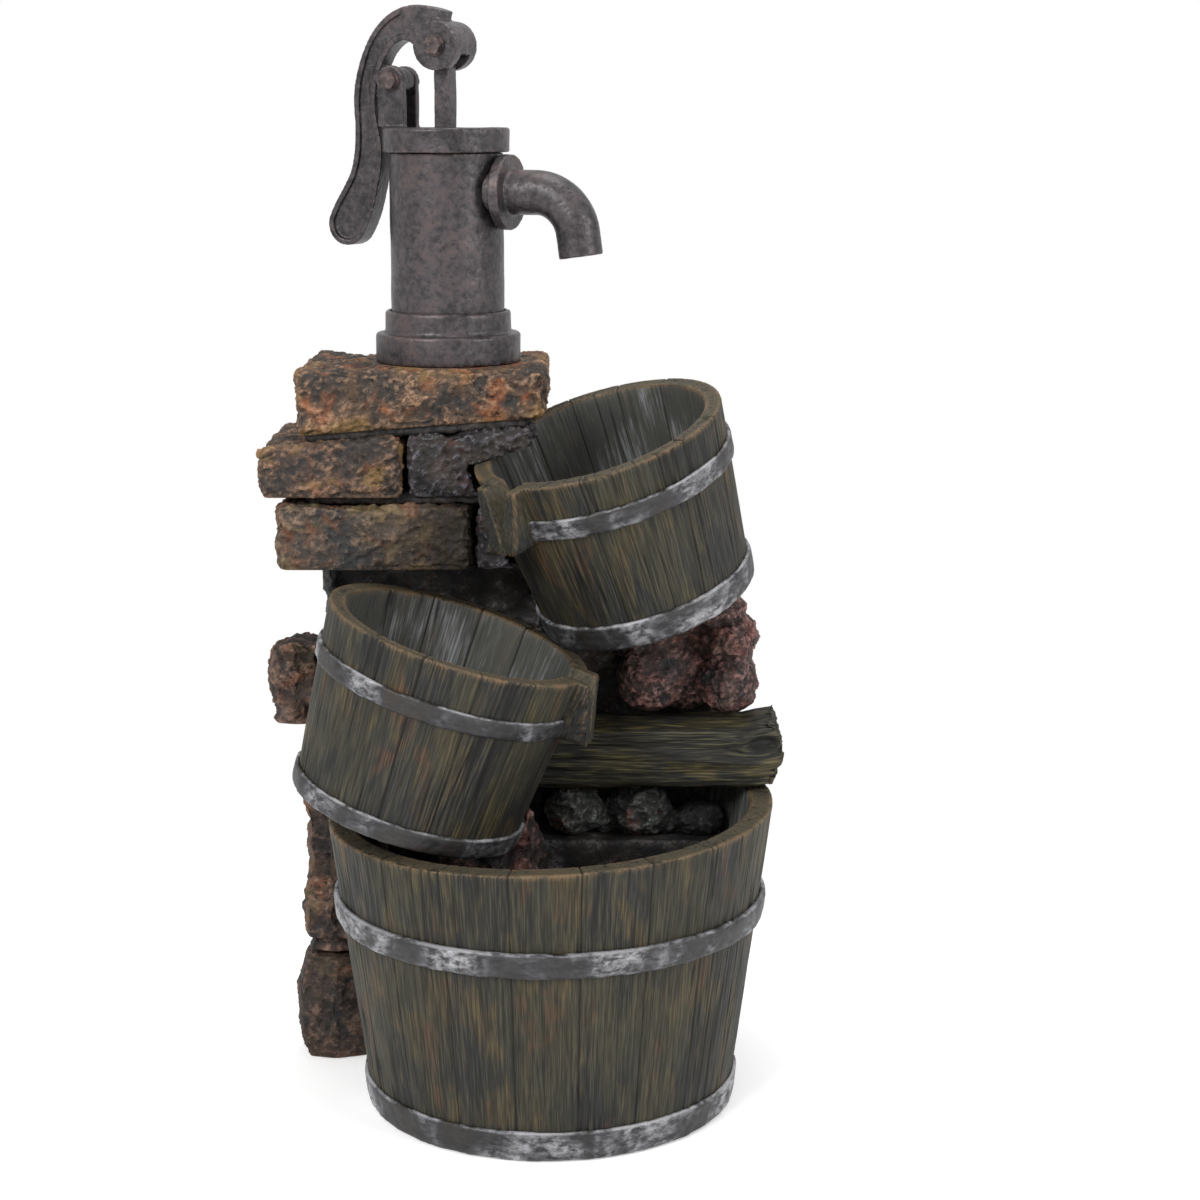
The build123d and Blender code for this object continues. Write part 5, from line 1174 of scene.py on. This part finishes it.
    @staticmethod
    def _open_band(mesh: bpy.types.Mesh, rows: int, columns: int) -> None:
        """Takes out the faces that would bridge a band's gap and closes its two ends.

        Args:
            mesh: The band's mesh.
            rows: Its number of rows.
            columns: Its number of columns.
        """
        points = points_of(mesh).tolist()
        keep = [
            tuple(p.vertices) for p in mesh.polygons
            if not {v % columns for v in p.vertices} >= {0, columns - 1}
        ]
        start = tuple(r * columns for r in range(rows))
        end = tuple(r * columns + columns - 1 for r in range(rows))[::-1]
        mesh.clear_geometry()
        mesh.from_pydata(points, [], [*keep, start, end])
        mesh.update()

    def build(self, timber: bpy.types.NodeTree, skin: bpy.types.NodeTree, wood: bpy.types.Material,
              metal: bpy.types.Material) -> None:
        """Builds the tub and its hoops, dressed and riding on the fountain.

        Args:
            timber: The tree that weathers wood.
            skin: The tree that roughens castings.
            wood: The staves' finish.
            metal: The hoops' finish.
        """
        blank = new_piece(f"{self.name}_staves", self.shell())
        body = weather(blank, timber, wood, Seed=self.seed * 0.37)
        if self.drain:
            self._drill(body, wood)
        node = "basin_shell" if self.name == "basin" else self.name
        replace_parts(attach(body, "fountain"), node)
        for hoop in self.hoops:
            band = weather(
                new_piece(f"{hoop.name}_band", self.band(hoop)), skin, metal,
                Wave_depth=0.5, Wave_size=13.0, Pit_depth=0.3, Pit_size=4.0,
            )
            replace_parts(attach(band, "fountain"), hoop.name)


@dataclass
class Casting:
    """A piece whose shape is its CAD node's, remeshed so that it can be weathered."""

    node: str
    slot: str
    voxel: float
    smooth: int = 2
    body: str = "fountain"
    more: tuple[str, ...] = ()
    sizes: dict[str, float] = field(default_factory=dict)
    merge: float = 0.005
    soften: float = 0.5

    def build(self, frame: dict, tree: bpy.types.NodeTree, finish: bpy.types.Material) -> None:
        """Builds the piece.

        Args:
            tree: The tree that weathers it, which is given the sizes.
            finish: Its material.
        """
        obj = self.copy(frame)
        self.mark(obj)
        self.put(weather(obj, tree, finish, **self.sizes))

    def mark(self, obj: bpy.types.Object) -> None:
        """Gives the remeshed piece what its tree reads, which is nothing here."""

    def copy(self, frame: dict) -> bpy.types.Object:
        """Copies the meshes of the CAD node and of those cast with it, merged and remeshed finely.


        Returns:
            The copy.
        """
        blank = bmesh.new()
        self.fill(blank, frame)
        mesh = bpy.data.meshes.new(self.node)
        blank.to_mesh(mesh)
        blank.free()
        obj = new_piece(f"{self.node}_cast", mesh)
        obj.modifiers.new("merge", "WELD").merge_threshold = self.merge * MM
        mesh_again = obj.modifiers.new("mesh_again", "REMESH")
        mesh_again.mode = "VOXEL"
        mesh_again.voxel_size = self.voxel * MM
        soften = obj.modifiers.new("soften", "SMOOTH")
        soften.factor, soften.iterations = self.soften, self.smooth
        return settled(obj)

    def fill(self, blank: bmesh.types.BMesh, frame: dict) -> None:
        """Puts the CAD meshes into an empty one."""
        for node in (self.node, *self.more):
            blank.from_mesh(frame["nodes"][node].data)

    def put(self, obj: bpy.types.Object) -> None:
        """Hangs the finished piece on its body in place of its CAD nodes."""
        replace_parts(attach(obj, self.body), self.node, *self.more)


@dataclass(frozen=True)
class OuterFaces:
    """Where the outer faces of the hollow core lie, in millimetres, and what has to stay even in them."""

    left: float = -124.0
    right: float = 76.0
    front: float = 72.0
    front_from: float = 182.0
    back: float = 120.0
    roof: float = 286.0
    facing: float = 0.2
    door: tuple[float, float] = (-40.0, 250.0)
    door_half: tuple[float, float] = (56.0, 50.0)
    door_from: float = 100.0
    outlet: tuple[float, float] = (-108.0, 214.0)
    outlet_radius: float = 16.0

    def share(self, obj: bpy.types.Object) -> np.ndarray:
        """Marks the points of the core that lie on its outer faces.

        Args:
            obj: The remeshed core.

        Returns:
            One on the outer faces, zero in the hollow, by the door and round the outlet.
        """
        normals = np.zeros(len(obj.data.vertices) * 3, np.float32)
        obj.data.vertex_normals.foreach_get("vector", normals)
        x, y, z = (points_of(obj.data) / MM).T
        out_x, out_y, out_z = normals.reshape(-1, 3).T
        left = (x < self.left) & (out_x < -self.facing)
        back = (y > self.back) & (out_y > self.facing)
        right = (x > self.right) & (out_x > self.facing)
        front = (y < self.front) & (out_y < -self.facing) & (z > self.front_from)
        roof = (z > self.roof) & (out_z > self.facing)
        off_x, off_z = (np.abs(place - at) for place, at in zip((x, z), self.door, strict=True))
        on_door = (off_x < self.door_half[0]) & (off_z < self.door_half[1]) & (y > self.door_from)
        on_outlet = np.hypot(x - self.outlet[0], z - self.outlet[1]) < self.outlet_radius
        return ((left | back | right | front | roof) & ~on_door & ~on_outlet).astype(float)


@dataclass
class RoughPiece(Casting):
    """A brick, stone or the core: chipped and pitted.

    Each of its lumps is a centre and half sizes, in millimetres.
    """

    finish: str = "warm_brick"
    outer: OuterFaces | None = None
    lumps: tuple[tuple[float, ...], ...] = ()

    def fill(self, blank: bmesh.types.BMesh, frame: dict) -> None:
        """Puts the CAD meshes and the lumps grown to them into an empty mesh."""
        super().fill(blank, frame)
        self.swell(blank)

    def swell(self, blank: bmesh.types.BMesh) -> None:
        """Adds the lumps."""
        for lump in self.lumps:
            made = bmesh.ops.create_icosphere(blank, subdivisions=4, radius=MM)
            bmesh.ops.scale(blank, vec=lump[3:], verts=made["verts"])
            bmesh.ops.translate(blank, vec=Vector(lump[:3]) * MM, verts=made["verts"])

    def mark(self, obj: bpy.types.Object) -> None:
        """Says where the surface is chipped, which is all over unless the piece is hollow."""
        keep = self.outer.share(obj) if self.outer else np.ones(len(obj.data.vertices))
        give(obj.data, "keep", keep)


@dataclass
class Boulders(RoughPiece):
    """Rounded stones grown together, in the room of their CAD node."""

    def fill(self, blank: bmesh.types.BMesh, frame: dict) -> None:
        """Puts only the lumps into an empty mesh."""
        self.swell(blank)


@dataclass
class Beam(Casting):
    """Old squared beam across the basin, with a knot in its front and a broken end."""

    knot: Point = (125.0, 210.0, 8.0)
    knot_core: float = 3.0
    knot_long: float = 1.7
    knot_bend: float = 0.6
    knot_deep: float = 10.0
    rugged_length: float = 16.0
    rugged_more: float = 1.1
    broken_length: float = 26.0
    broken_rise: float = 4.5
    broken_back: float = 5.0
    broken_middle: float = 0.55
    board_number: float = 7.0

    def mark(self, obj: bpy.types.Object) -> None:
        """Breaks the end and lays the grain along the length, round the knot.

        Args:
            obj: The remeshed beam.
        """
        places = points_of(obj.data)
        low, high = places.min(axis=0), places.max(axis=0)
        grain = places[:, [1, 2, 0]]
        ends = high[0] - places[:, 0]
        count = len(places)
        rugged = 1.0 + self.rugged_more * np.clip(1.0 - ends / (self.rugged_length * MM), 0.0, 1.0)
        x, z, spread = (value * MM for value in self.knot)
        aside = places[:, 2] - z
        height = (places[:, 2] - low[2]) / (high[2] - low[2])
        torn = np.clip(1.0 - ends / (self.broken_length * MM), 0.0, 1.0)
        places[:, 2] += torn * height * self.broken_rise * MM
        places[:, 0] -= torn * 2.0 * np.abs(height - self.broken_middle) * self.broken_back * MM
        obj.data.vertices.foreach_set("co", places.ravel())
        behind = np.where(places[:, 1] > low[1] + self.knot_deep * MM, 1.0, 0.0)
        from_knot = np.hypot((places[:, 0] - x) / self.knot_long, aside) + behind
        grain[:, 1] -= np.sign(aside) * spread * self.knot_bend * np.exp(-((from_knot / spread) ** 2))
        marks = {
            "seam": np.clip(from_knot - self.knot_core * MM, 0.0, FAR * MM),
            "stave": np.full(count, self.board_number), "side": np.zeros(count),
            "edge": np.clip(ends, 0.0, FAR * MM), "keep": rugged, "grain_co": grain,
        }
        for label, values in marks.items():
            give(obj.data, label, values)


def dress(
    frame: dict, finish: MouldedFinish | IronFinish, material: bpy.types.Material, nodes: Sequence[str]
) -> None:
    """Gives CAD nodes that keep their own shape their material.

    Args:
        finish: The finish.
        material: What it built.
        nodes: The nodes.
    """
    for node in nodes:
        mesh = frame["nodes"][node].data
        mesh.materials.clear()
        mesh.materials.append(material)
    LOG.info("%s: %s", finish.name, ", ".join(nodes))


@dataclass
class Studio:
    """Camera, lamps, floor and world."""

    lens: float = 72.9
    sensor: float = 36.0
    camera_at: Point = (0.0298, -1.385, 0.5792)
    pitch: float = 11.37
    world_strength: float = 0.5
    near: float = 0.2
    far: float = 0.62
    floor_half: float = 14.0
    floor_glow: float = 0.34
    aim: Point = (0.0, 0.0, 0.3)
    lamps: tuple[tuple[str, Point, float, float], ...] = (
        ("key", (-1.5, -2.2, 2.1), 1.2, 66.0),
        ("fill", (2.3, -1.5, 1.3), 1.2, 34.0),
        ("top", (0.2, 0.3, 2.8), 1.4, 26.0),
    )

    def build(self) -> None:
        """Sets everything up."""
        self.camera()
        self.floor()
        self.world()
        for lamp in self.lamps:
            self.lamp(*lamp)
        bpy.context.scene.view_settings.view_transform = "Standard"

    def camera(self) -> None:
        """Puts the camera where the photograph was taken from."""
        data = bpy.data.cameras.new("camera")
        data.lens, data.sensor_width = self.lens, self.sensor
        data.clip_start, data.clip_end = 0.05, 60.0
        obj = bpy.data.objects.new("camera", data)
        obj.location = self.camera_at
        obj.rotation_euler = Euler((math.radians(90 - self.pitch), 0.0, 0.0))
        bpy.context.scene.collection.objects.link(obj)
        bpy.context.scene.camera = obj

    def lamp(self, name: str, at: Point, size: float, power: float) -> None:
        """Adds a soft lamp that points at the aim.

        Args:
            name: Its name.
            at: Where it hangs.
            size: Its side, in metres.
            power: Its power, in watts.
        """
        data = bpy.data.lights.new(name, "AREA")
        data.shape, data.size, data.energy = "SQUARE", size, power
        obj = bpy.data.objects.new(name, data)
        obj.location = at
        obj.rotation_euler = (Vector(self.aim) - Vector(at)).to_track_quat("-Z", "Y").to_euler()
        bpy.context.scene.collection.objects.link(obj)

    def floor(self) -> None:
        """Lays a pale floor that is white to the camera and keeps the object's shadow."""
        mesh = bpy.data.meshes.new("floor")
        half = self.floor_half
        corners = [(-half, -half, 0), (half, -half, 0), (half, half, 0), (-half, half, 0)]
        mesh.from_pydata(corners, [], [(0, 1, 2, 3)])
        obj = new_piece("floor", mesh)
        net = ShaderNet("pale_floor")
        shine = self.floor_glow * net.ray("Is Camera Ray").above(net.ray("Is Glossy Ray"))
        glow = net.node("ShaderNodeEmission", None, {"Color": WHITE, "Strength": shine})
        diffuse = net.node("ShaderNodeBsdfDiffuse", None, {"Color": (0.9, 0.9, 0.9, 1)})
        both = net.node("ShaderNodeAddShader", None, {0: glow, 1: diffuse})
        away = net.node("ShaderNodeVectorMath", {"operation": "LENGTH"}, {0: net.place()}, "Value")
        plain = net.node("ShaderNodeEmission", None, {"Color": WHITE, "Strength": 1.0})
        camera_far = net.ray("Is Camera Ray") * away.step(self.near, self.far)
        surface = net.node("ShaderNodeMixShader", None, {0: camera_far, 1: both, 2: plain})
        net.node("ShaderNodeOutputMaterial", None, {"Surface": surface})
        mesh.materials.append(net.material)

    def world(self) -> None:
        """Gives the world a plain pale light, white to the camera."""
        world = bpy.data.worlds.new("studio")
        world.use_nodes = True
        world.node_tree.nodes.clear()
        net = Net(world.node_tree)
        shine = net.ray("Is Camera Ray").above(net.ray("Is Glossy Ray") * 0.9)
        strength = self.world_strength + shine * (1.0 - self.world_strength)
        sky = net.node("ShaderNodeBackground", None, {"Color": WHITE, "Strength": strength})
        net.node("ShaderNodeOutputWorld", None, {"Surface": sky})
        bpy.context.scene.world = world


STONES = {finish.name: finish for finish in (
    StoneFinish("warm_brick"),
    StoneFinish("side_brick", body=(72, 59, 51), light=(152, 118, 94), warm=(118, 72, 47), shift=1.7),
    # The olive brick darkens from X -82 mm to -44 mm onwards: painted shadow of the bucket before it.
    StoneFinish(
        "olive_brick", body=(72, 63, 55), light=(140, 116, 96), warm=(108, 70, 50), ochre=(100, 86, 58),
        grey=(46, 46, 46), painted_shade=(-82.0, -44.0), shift=5.3,
    ),
    # Darker copy of the brick for the two right-hand bricks, which lie in shadow: painted shade.
    StoneFinish(
        "shaded_brick", pit=(14, 13, 13), body=(44, 40, 40), light=(124, 122, 130), warm=(72, 48, 40),
        ochre=(56, 50, 45), grey=(30, 29, 30), brush=0.28, shift=2.2,
    ),
    StoneFinish(
        "dark_mortar", pit=(13, 12, 12), body=(32, 29, 28), light=(72, 68, 66), warm=(46, 36, 32),
        ochre=(40, 36, 31), grey=(24, 23, 24), brush=0.25, shift=3.6,
    ),
    StoneFinish(
        "red_stone", pit=(15, 14, 14), body=(56, 43, 41), light=(168, 126, 118), warm=(92, 51, 44),
        ochre=(56, 51, 45), grey=(35, 35, 36), brush=0.72, web=0.55, shift=1.1,
    ),
    StoneFinish(
        "tan_stone", pit=(24, 20, 19), body=(80, 64, 56), light=(154, 122, 104), warm=(112, 74, 54),
        ochre=(94, 78, 58), grey=(46, 43, 42), shift=6.1,
    ),
    StoneFinish(
        "shaded_stone", pit=(18, 16, 15), body=(54, 44, 39), light=(118, 94, 80), warm=(82, 54, 40),
        ochre=(64, 55, 42), grey=(34, 32, 31), shift=7.7,
    ),
    StoneFinish(
        "dark_core", pit=(16, 15, 15), body=(48, 44, 41), light=(134, 130, 130), warm=(68, 50, 43),
        ochre=(56, 52, 44), grey=(35, 35, 37), brush=0.7, shift=3.1,
    ),
    # The basin rocks darken from X 64 mm to 88 mm onwards: painted shadow.
    StoneFinish(
        "basin_rock", pit=(16, 15, 15), body=(50, 50, 47), light=(150, 154, 148), warm=(104, 62, 48),
        ochre=(58, 64, 54), grey=(42, 47, 45), brush=0.8, web=0.3, painted_shade=(64.0, 88.0), shift=4.4,
    ),
)}

MOULDED = (
    (MouldedFinish("screw_steel", (128, 126, 122), (92, 84, 76), rough=0.38, metal=1.0, grain=0.6, deep=0.02),
     ("base_screws", "door_screws")),
    (MouldedFinish("black_rubber", (34, 34, 34), (58, 56, 54), rough=0.72, grain=0.7),
     ("door_seal", "cable_grommet", "drain_plug", "spout_grommet", "pump_suction_cups", "pump_cable_gland")),
    (MouldedFinish("door_moulding", (58, 54, 48), (92, 84, 70), rough=0.66, grain=1.2, deep=0.12),
     ("access_door",)),
    (MouldedFinish("pump_moulding", (36, 40, 44), (62, 64, 66), rough=0.48),
     ("pump_housing", "pump_strainer_cover", "pump_chamber_cover", "pump_flow_knob", "pump_impeller",
      "pump_nozzle", "spout_elbow")),
    (MouldedFinish("shaft_ceramic", (226, 224, 216), (206, 202, 190), rough=0.3, grain=0.5, deep=0.01),
     ("pump_shaft",)),
    (MouldedFinish("grey_hose", (66, 68, 68), (92, 92, 88), rough=0.5, grain=1.0), ("riser_hose",)),
)

BRICK = {"Swell_depth": 2.4, "Swell_size": 27.0, "Chip_depth": 2.6, "Chip_size": 9.5, "Pit_depth": 1.3,
         "Pit_size": 3.6, "Proud": 2.2}
ROCK = {"Lump_depth": 4.0, "Lump_size": 33.0, "Swell_depth": 2.4, "Swell_size": 30.0, "Chip_depth": 1.8,
        "Chip_size": 11.0, "Pit_depth": 0.9, "Proud": 1.5}
BOULDER = {"Swell_depth": 3.6, "Swell_size": 17.0, "Chip_depth": 1.6, "Chip_size": 8.0, "Pit_depth": 0.8,
           "Proud": 3.0}
CORE = {"Lump_depth": 4.5, "Lump_size": 46.0, "Swell_depth": 2.0, "Swell_size": 42.0, "Chip_depth": 2.6,
        "Chip_size": 18.0, "Pit_depth": 0.9, "Pit_size": 5.0, "Proud": 2.2, "Seat": 0.0}
QUIET = {"Quiet_X": -61.4, "Quiet_Y": 80.0, "Quiet_radius": 44.0}

MASONRY = (
    RoughPiece("brick_top", "cast_brick", voxel=1.3, smooth=16, finish="warm_brick", sizes={
        **BRICK, **QUIET, "Seed": 0.1}),
    *(
        RoughPiece(
            f"brick_{place}", "cast_brick", voxel=1.3, smooth=18, finish=finish, sizes={**BRICK, "Seed": seed}
        )
        for place, finish, seed in (
            # The two right-hand bricks take the darker copy of the brick, painted shade.
            ("second_left", "side_brick", 0.3), ("second_right", "shaded_brick", 0.5),
            ("third_left", "olive_brick", 0.7), ("third_right", "shaded_brick", 0.9),
        )
    ),
    RoughPiece("mortar_beds", "mortar", voxel=1.6, finish="dark_mortar", sizes={
        "Chip_depth": 1.2, "Swell_depth": 0.6, "Proud": 4.0, "Seat": 0.0}),
    RoughPiece("corner_block", "cast_stone", voxel=1.5, smooth=16, finish="shaded_stone", sizes={
        **ROCK, "Lump_depth": 1.0, "Seed": 1.1}, lumps=(
        (-124.0, 88.0, 36.0, 13.0, 16.0, 30.0), (-128.0, 88.0, 18.0, 12.0, 14.0, 16.0))),
    RoughPiece("side_stones", "cast_stone", voxel=1.5, smooth=22, finish="tan_stone", sizes={
        **ROCK, "Proud": 0.6, "Seed": 1.3}, lumps=(
        (-132.0, 82.0, 160.0, 13.0, 15.0, 30.0), (-133.0, 80.0, 97.0, 13.0, 15.0, 29.0),
        (-138.0, 80.0, 238.0, 14.0, 17.0, 20.0))),
    Boulders("prop_stones", "cast_stone", voxel=1.2, smooth=4, finish="red_stone", sizes={
        **BOULDER, "Seed": 1.5}, lumps=(
        (60.0, 42.0, 247.0, 20.0, 17.0, 23.0), (56.0, 48.0, 272.0, 19.0, 17.0, 23.0),
        (107.0, 42.0, 242.0, 18.5, 17.5, 19.5), (108.0, 48.0, 268.0, 18.0, 17.0, 17.0),
        (100.0, 50.0, 284.0, 17.0, 15.0, 13.0), (82.0, 54.0, 248.0, 22.0, 11.5, 26.0),
        (80.0, 53.0, 280.0, 26.0, 12.0, 16.0))),
    RoughPiece("pillar_rock", "cast_stone", voxel=1.6, smooth=24, finish="red_stone", sizes={
        **ROCK, "Seed": 1.7}),
    Boulders("basin_rocks", "cast_stone", voxel=1.2, smooth=4, finish="basin_rock", sizes={
        **BOULDER, "Seed": 1.9}, lumps=(
        (14.0, 36.0, 165.0, 17.0, 16.0, 17.0), (54.0, 36.0, 165.0, 19.0, 16.5, 18.0),
        (34.0, 42.0, 158.0, 14.0, 12.0, 10.5), (89.0, 36.0, 158.0, 15.5, 14.0, 10.5),
        (73.0, 40.0, 156.0, 12.0, 11.0, 8.5))),
    RoughPiece(
        "column_core", "cast_stone", voxel=2.2, smooth=4, finish="dark_core", sizes=CORE, outer=OuterFaces(),
        more=("column_foot", "pump_chamber", "shoulder_cap", "column_crown"), lumps=(
            (-129.0, 74.0, 294.0, 13.0, 32.0, 24.0), (-128.0, 68.0, 276.0, 11.5, 22.0, 18.0)),
    ),
)


@dataclass
class Fountain:
    """The whole object, built from its sub-assemblies."""

    frame: dict
    timber: OldTimberTree = field(default_factory=OldTimberTree)
    stone: RoughStoneTree = field(default_factory=RoughStoneTree)
    skin: CastSkinTree = field(default_factory=CastSkinTree)

    def tubs(self) -> None:
        """Builds the basin and the two buckets."""
        wood = TimberFinish("barrel_timber").material()
        metal = HoopFinish().material()
        bucket = {"wall": 10.5, "floor": 9.0, "staves": 14, "columns": 760, "rows": 44, "first_half": 16.0}
        upper = Tub(
            "upper_bucket", Seat((27.6, 15.0, 397.6), lean_right=-17.0, lean_front=12.3, facing=219.0),
            rim=75.2, foot=62.7, depth=111.2, lip=Lip(), seed=3, **bucket, hoops=(
                Hoop("upper_bucket_upper_hoop", drop=21.1, height=13.5, proud=2.5),
                Hoop("upper_bucket_base_hoop", drop=94.0, height=17.2, proud=2.5),
            ),
        )
        lower = Tub(
            "mid_bucket", Seat((-49.8, -33.0, 288.8), lean_right=17.53, lean_front=2.2, facing=-10.0),
            rim=77.0, foot=65.6, depth=110.7, lip=Lip(), room_for=upper, seed=2, **bucket, hoops=(
                Hoop("mid_bucket_upper_hoop", drop=23.3, height=12.3, proud=2.5),
                Hoop("mid_bucket_base_hoop", drop=97.9, height=12.8, proud=2.5),
            ),
        )
        basin = Tub(
            "basin", Seat((0.0, 0.0, 178.3)), rim=131.4, foot=107.5, depth=178.3, wall=14.0, floor=12.0,
            staves=20, columns=840, rows=42, rise=(2.2, 1.2), seed=1, drain=(58.0, -48.0, 8.3), hoops=(
                Hoop("basin_upper_hoop", drop=48.9, height=16.0, proud=4.0),
                Hoop("basin_base_hoop", drop=159.3, height=18.6, proud=2.4),
            ),
        )
        for tub in (basin, lower, upper):
            tub.build(self.timber.tree, self.skin.tree, wood, metal)

    def masonry(self) -> None:
        """Builds the bricks, the stones and the core behind them."""
        made: dict[str, bpy.types.Material] = {}
        for piece in MASONRY:
            if piece.finish not in made:
                made[piece.finish] = STONES[piece.finish].material()
            piece.build(self.frame, self.stone.tree, made[piece.finish])

    def beam(self) -> None:
        """Builds the old beam."""
        finish = TimberFinish(
            "beam_timber", dark=(12, 12, 11), charcoal=(28, 28, 26), olive=(37, 36, 29), light=(108, 102, 74),
            ochre=(122, 110, 68), rust=(60, 46, 34), edge=(66, 60, 46), shift=4.0,
        )
        beam = Beam("timber_beam", "cast_timber", voxel=1.2, smooth=12, sizes={
            "Grain_depth": 1.0, "Dent_depth": 2.8, "Crack_depth": 2.4, "Joint_half_width": 3.2,
            "Joint_depth": 2.2, "Seed": 0.9})
        beam.build(self.frame, self.timber.tree, finish.material())

    def hand_pump(self) -> None:
        """Builds the hand pump's castings."""
        finish = IronFinish()
        iron = finish.material()
        for casting in (
            Casting("hand_pump_base", "pump_metal", voxel=0.9),
            Casting("hand_pump_barrel", "pump_metal", voxel=0.9),
            Casting("hand_pump_cap", "pump_metal", voxel=0.7),
            Casting("spout", "pump_metal", voxel=0.7, smooth=8),
            Casting("handle", "pump_metal", voxel=0.65, body="lever"),
            Casting("plunger_rod", "pump_metal", voxel=0.6, body="plunger"),
        ):
            casting.build(self.frame, self.skin.tree, iron)
        dress(self.frame, finish, iron, ("fulcrum_bolt", "fulcrum_nut", "rod_bolt", "rod_nut"))

    def fittings(self) -> None:
        """Dresses the small parts that keep their CAD shape."""
        for finish, nodes in MOULDED:
            dress(self.frame, finish, finish.material(), nodes)


def main() -> None:
    """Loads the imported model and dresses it."""
    logging.basicConfig(level=logging.INFO, format="%(name)s: %(message)s", stream=sys.stdout)
    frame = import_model()
    Studio().build()
    fountain = Fountain(frame)
    fountain.tubs()
    fountain.masonry()
    fountain.beam()
    fountain.hand_pump()
    fountain.fittings()
    bpy.context.view_layer.update()


if __name__ == "__main__":
    main()
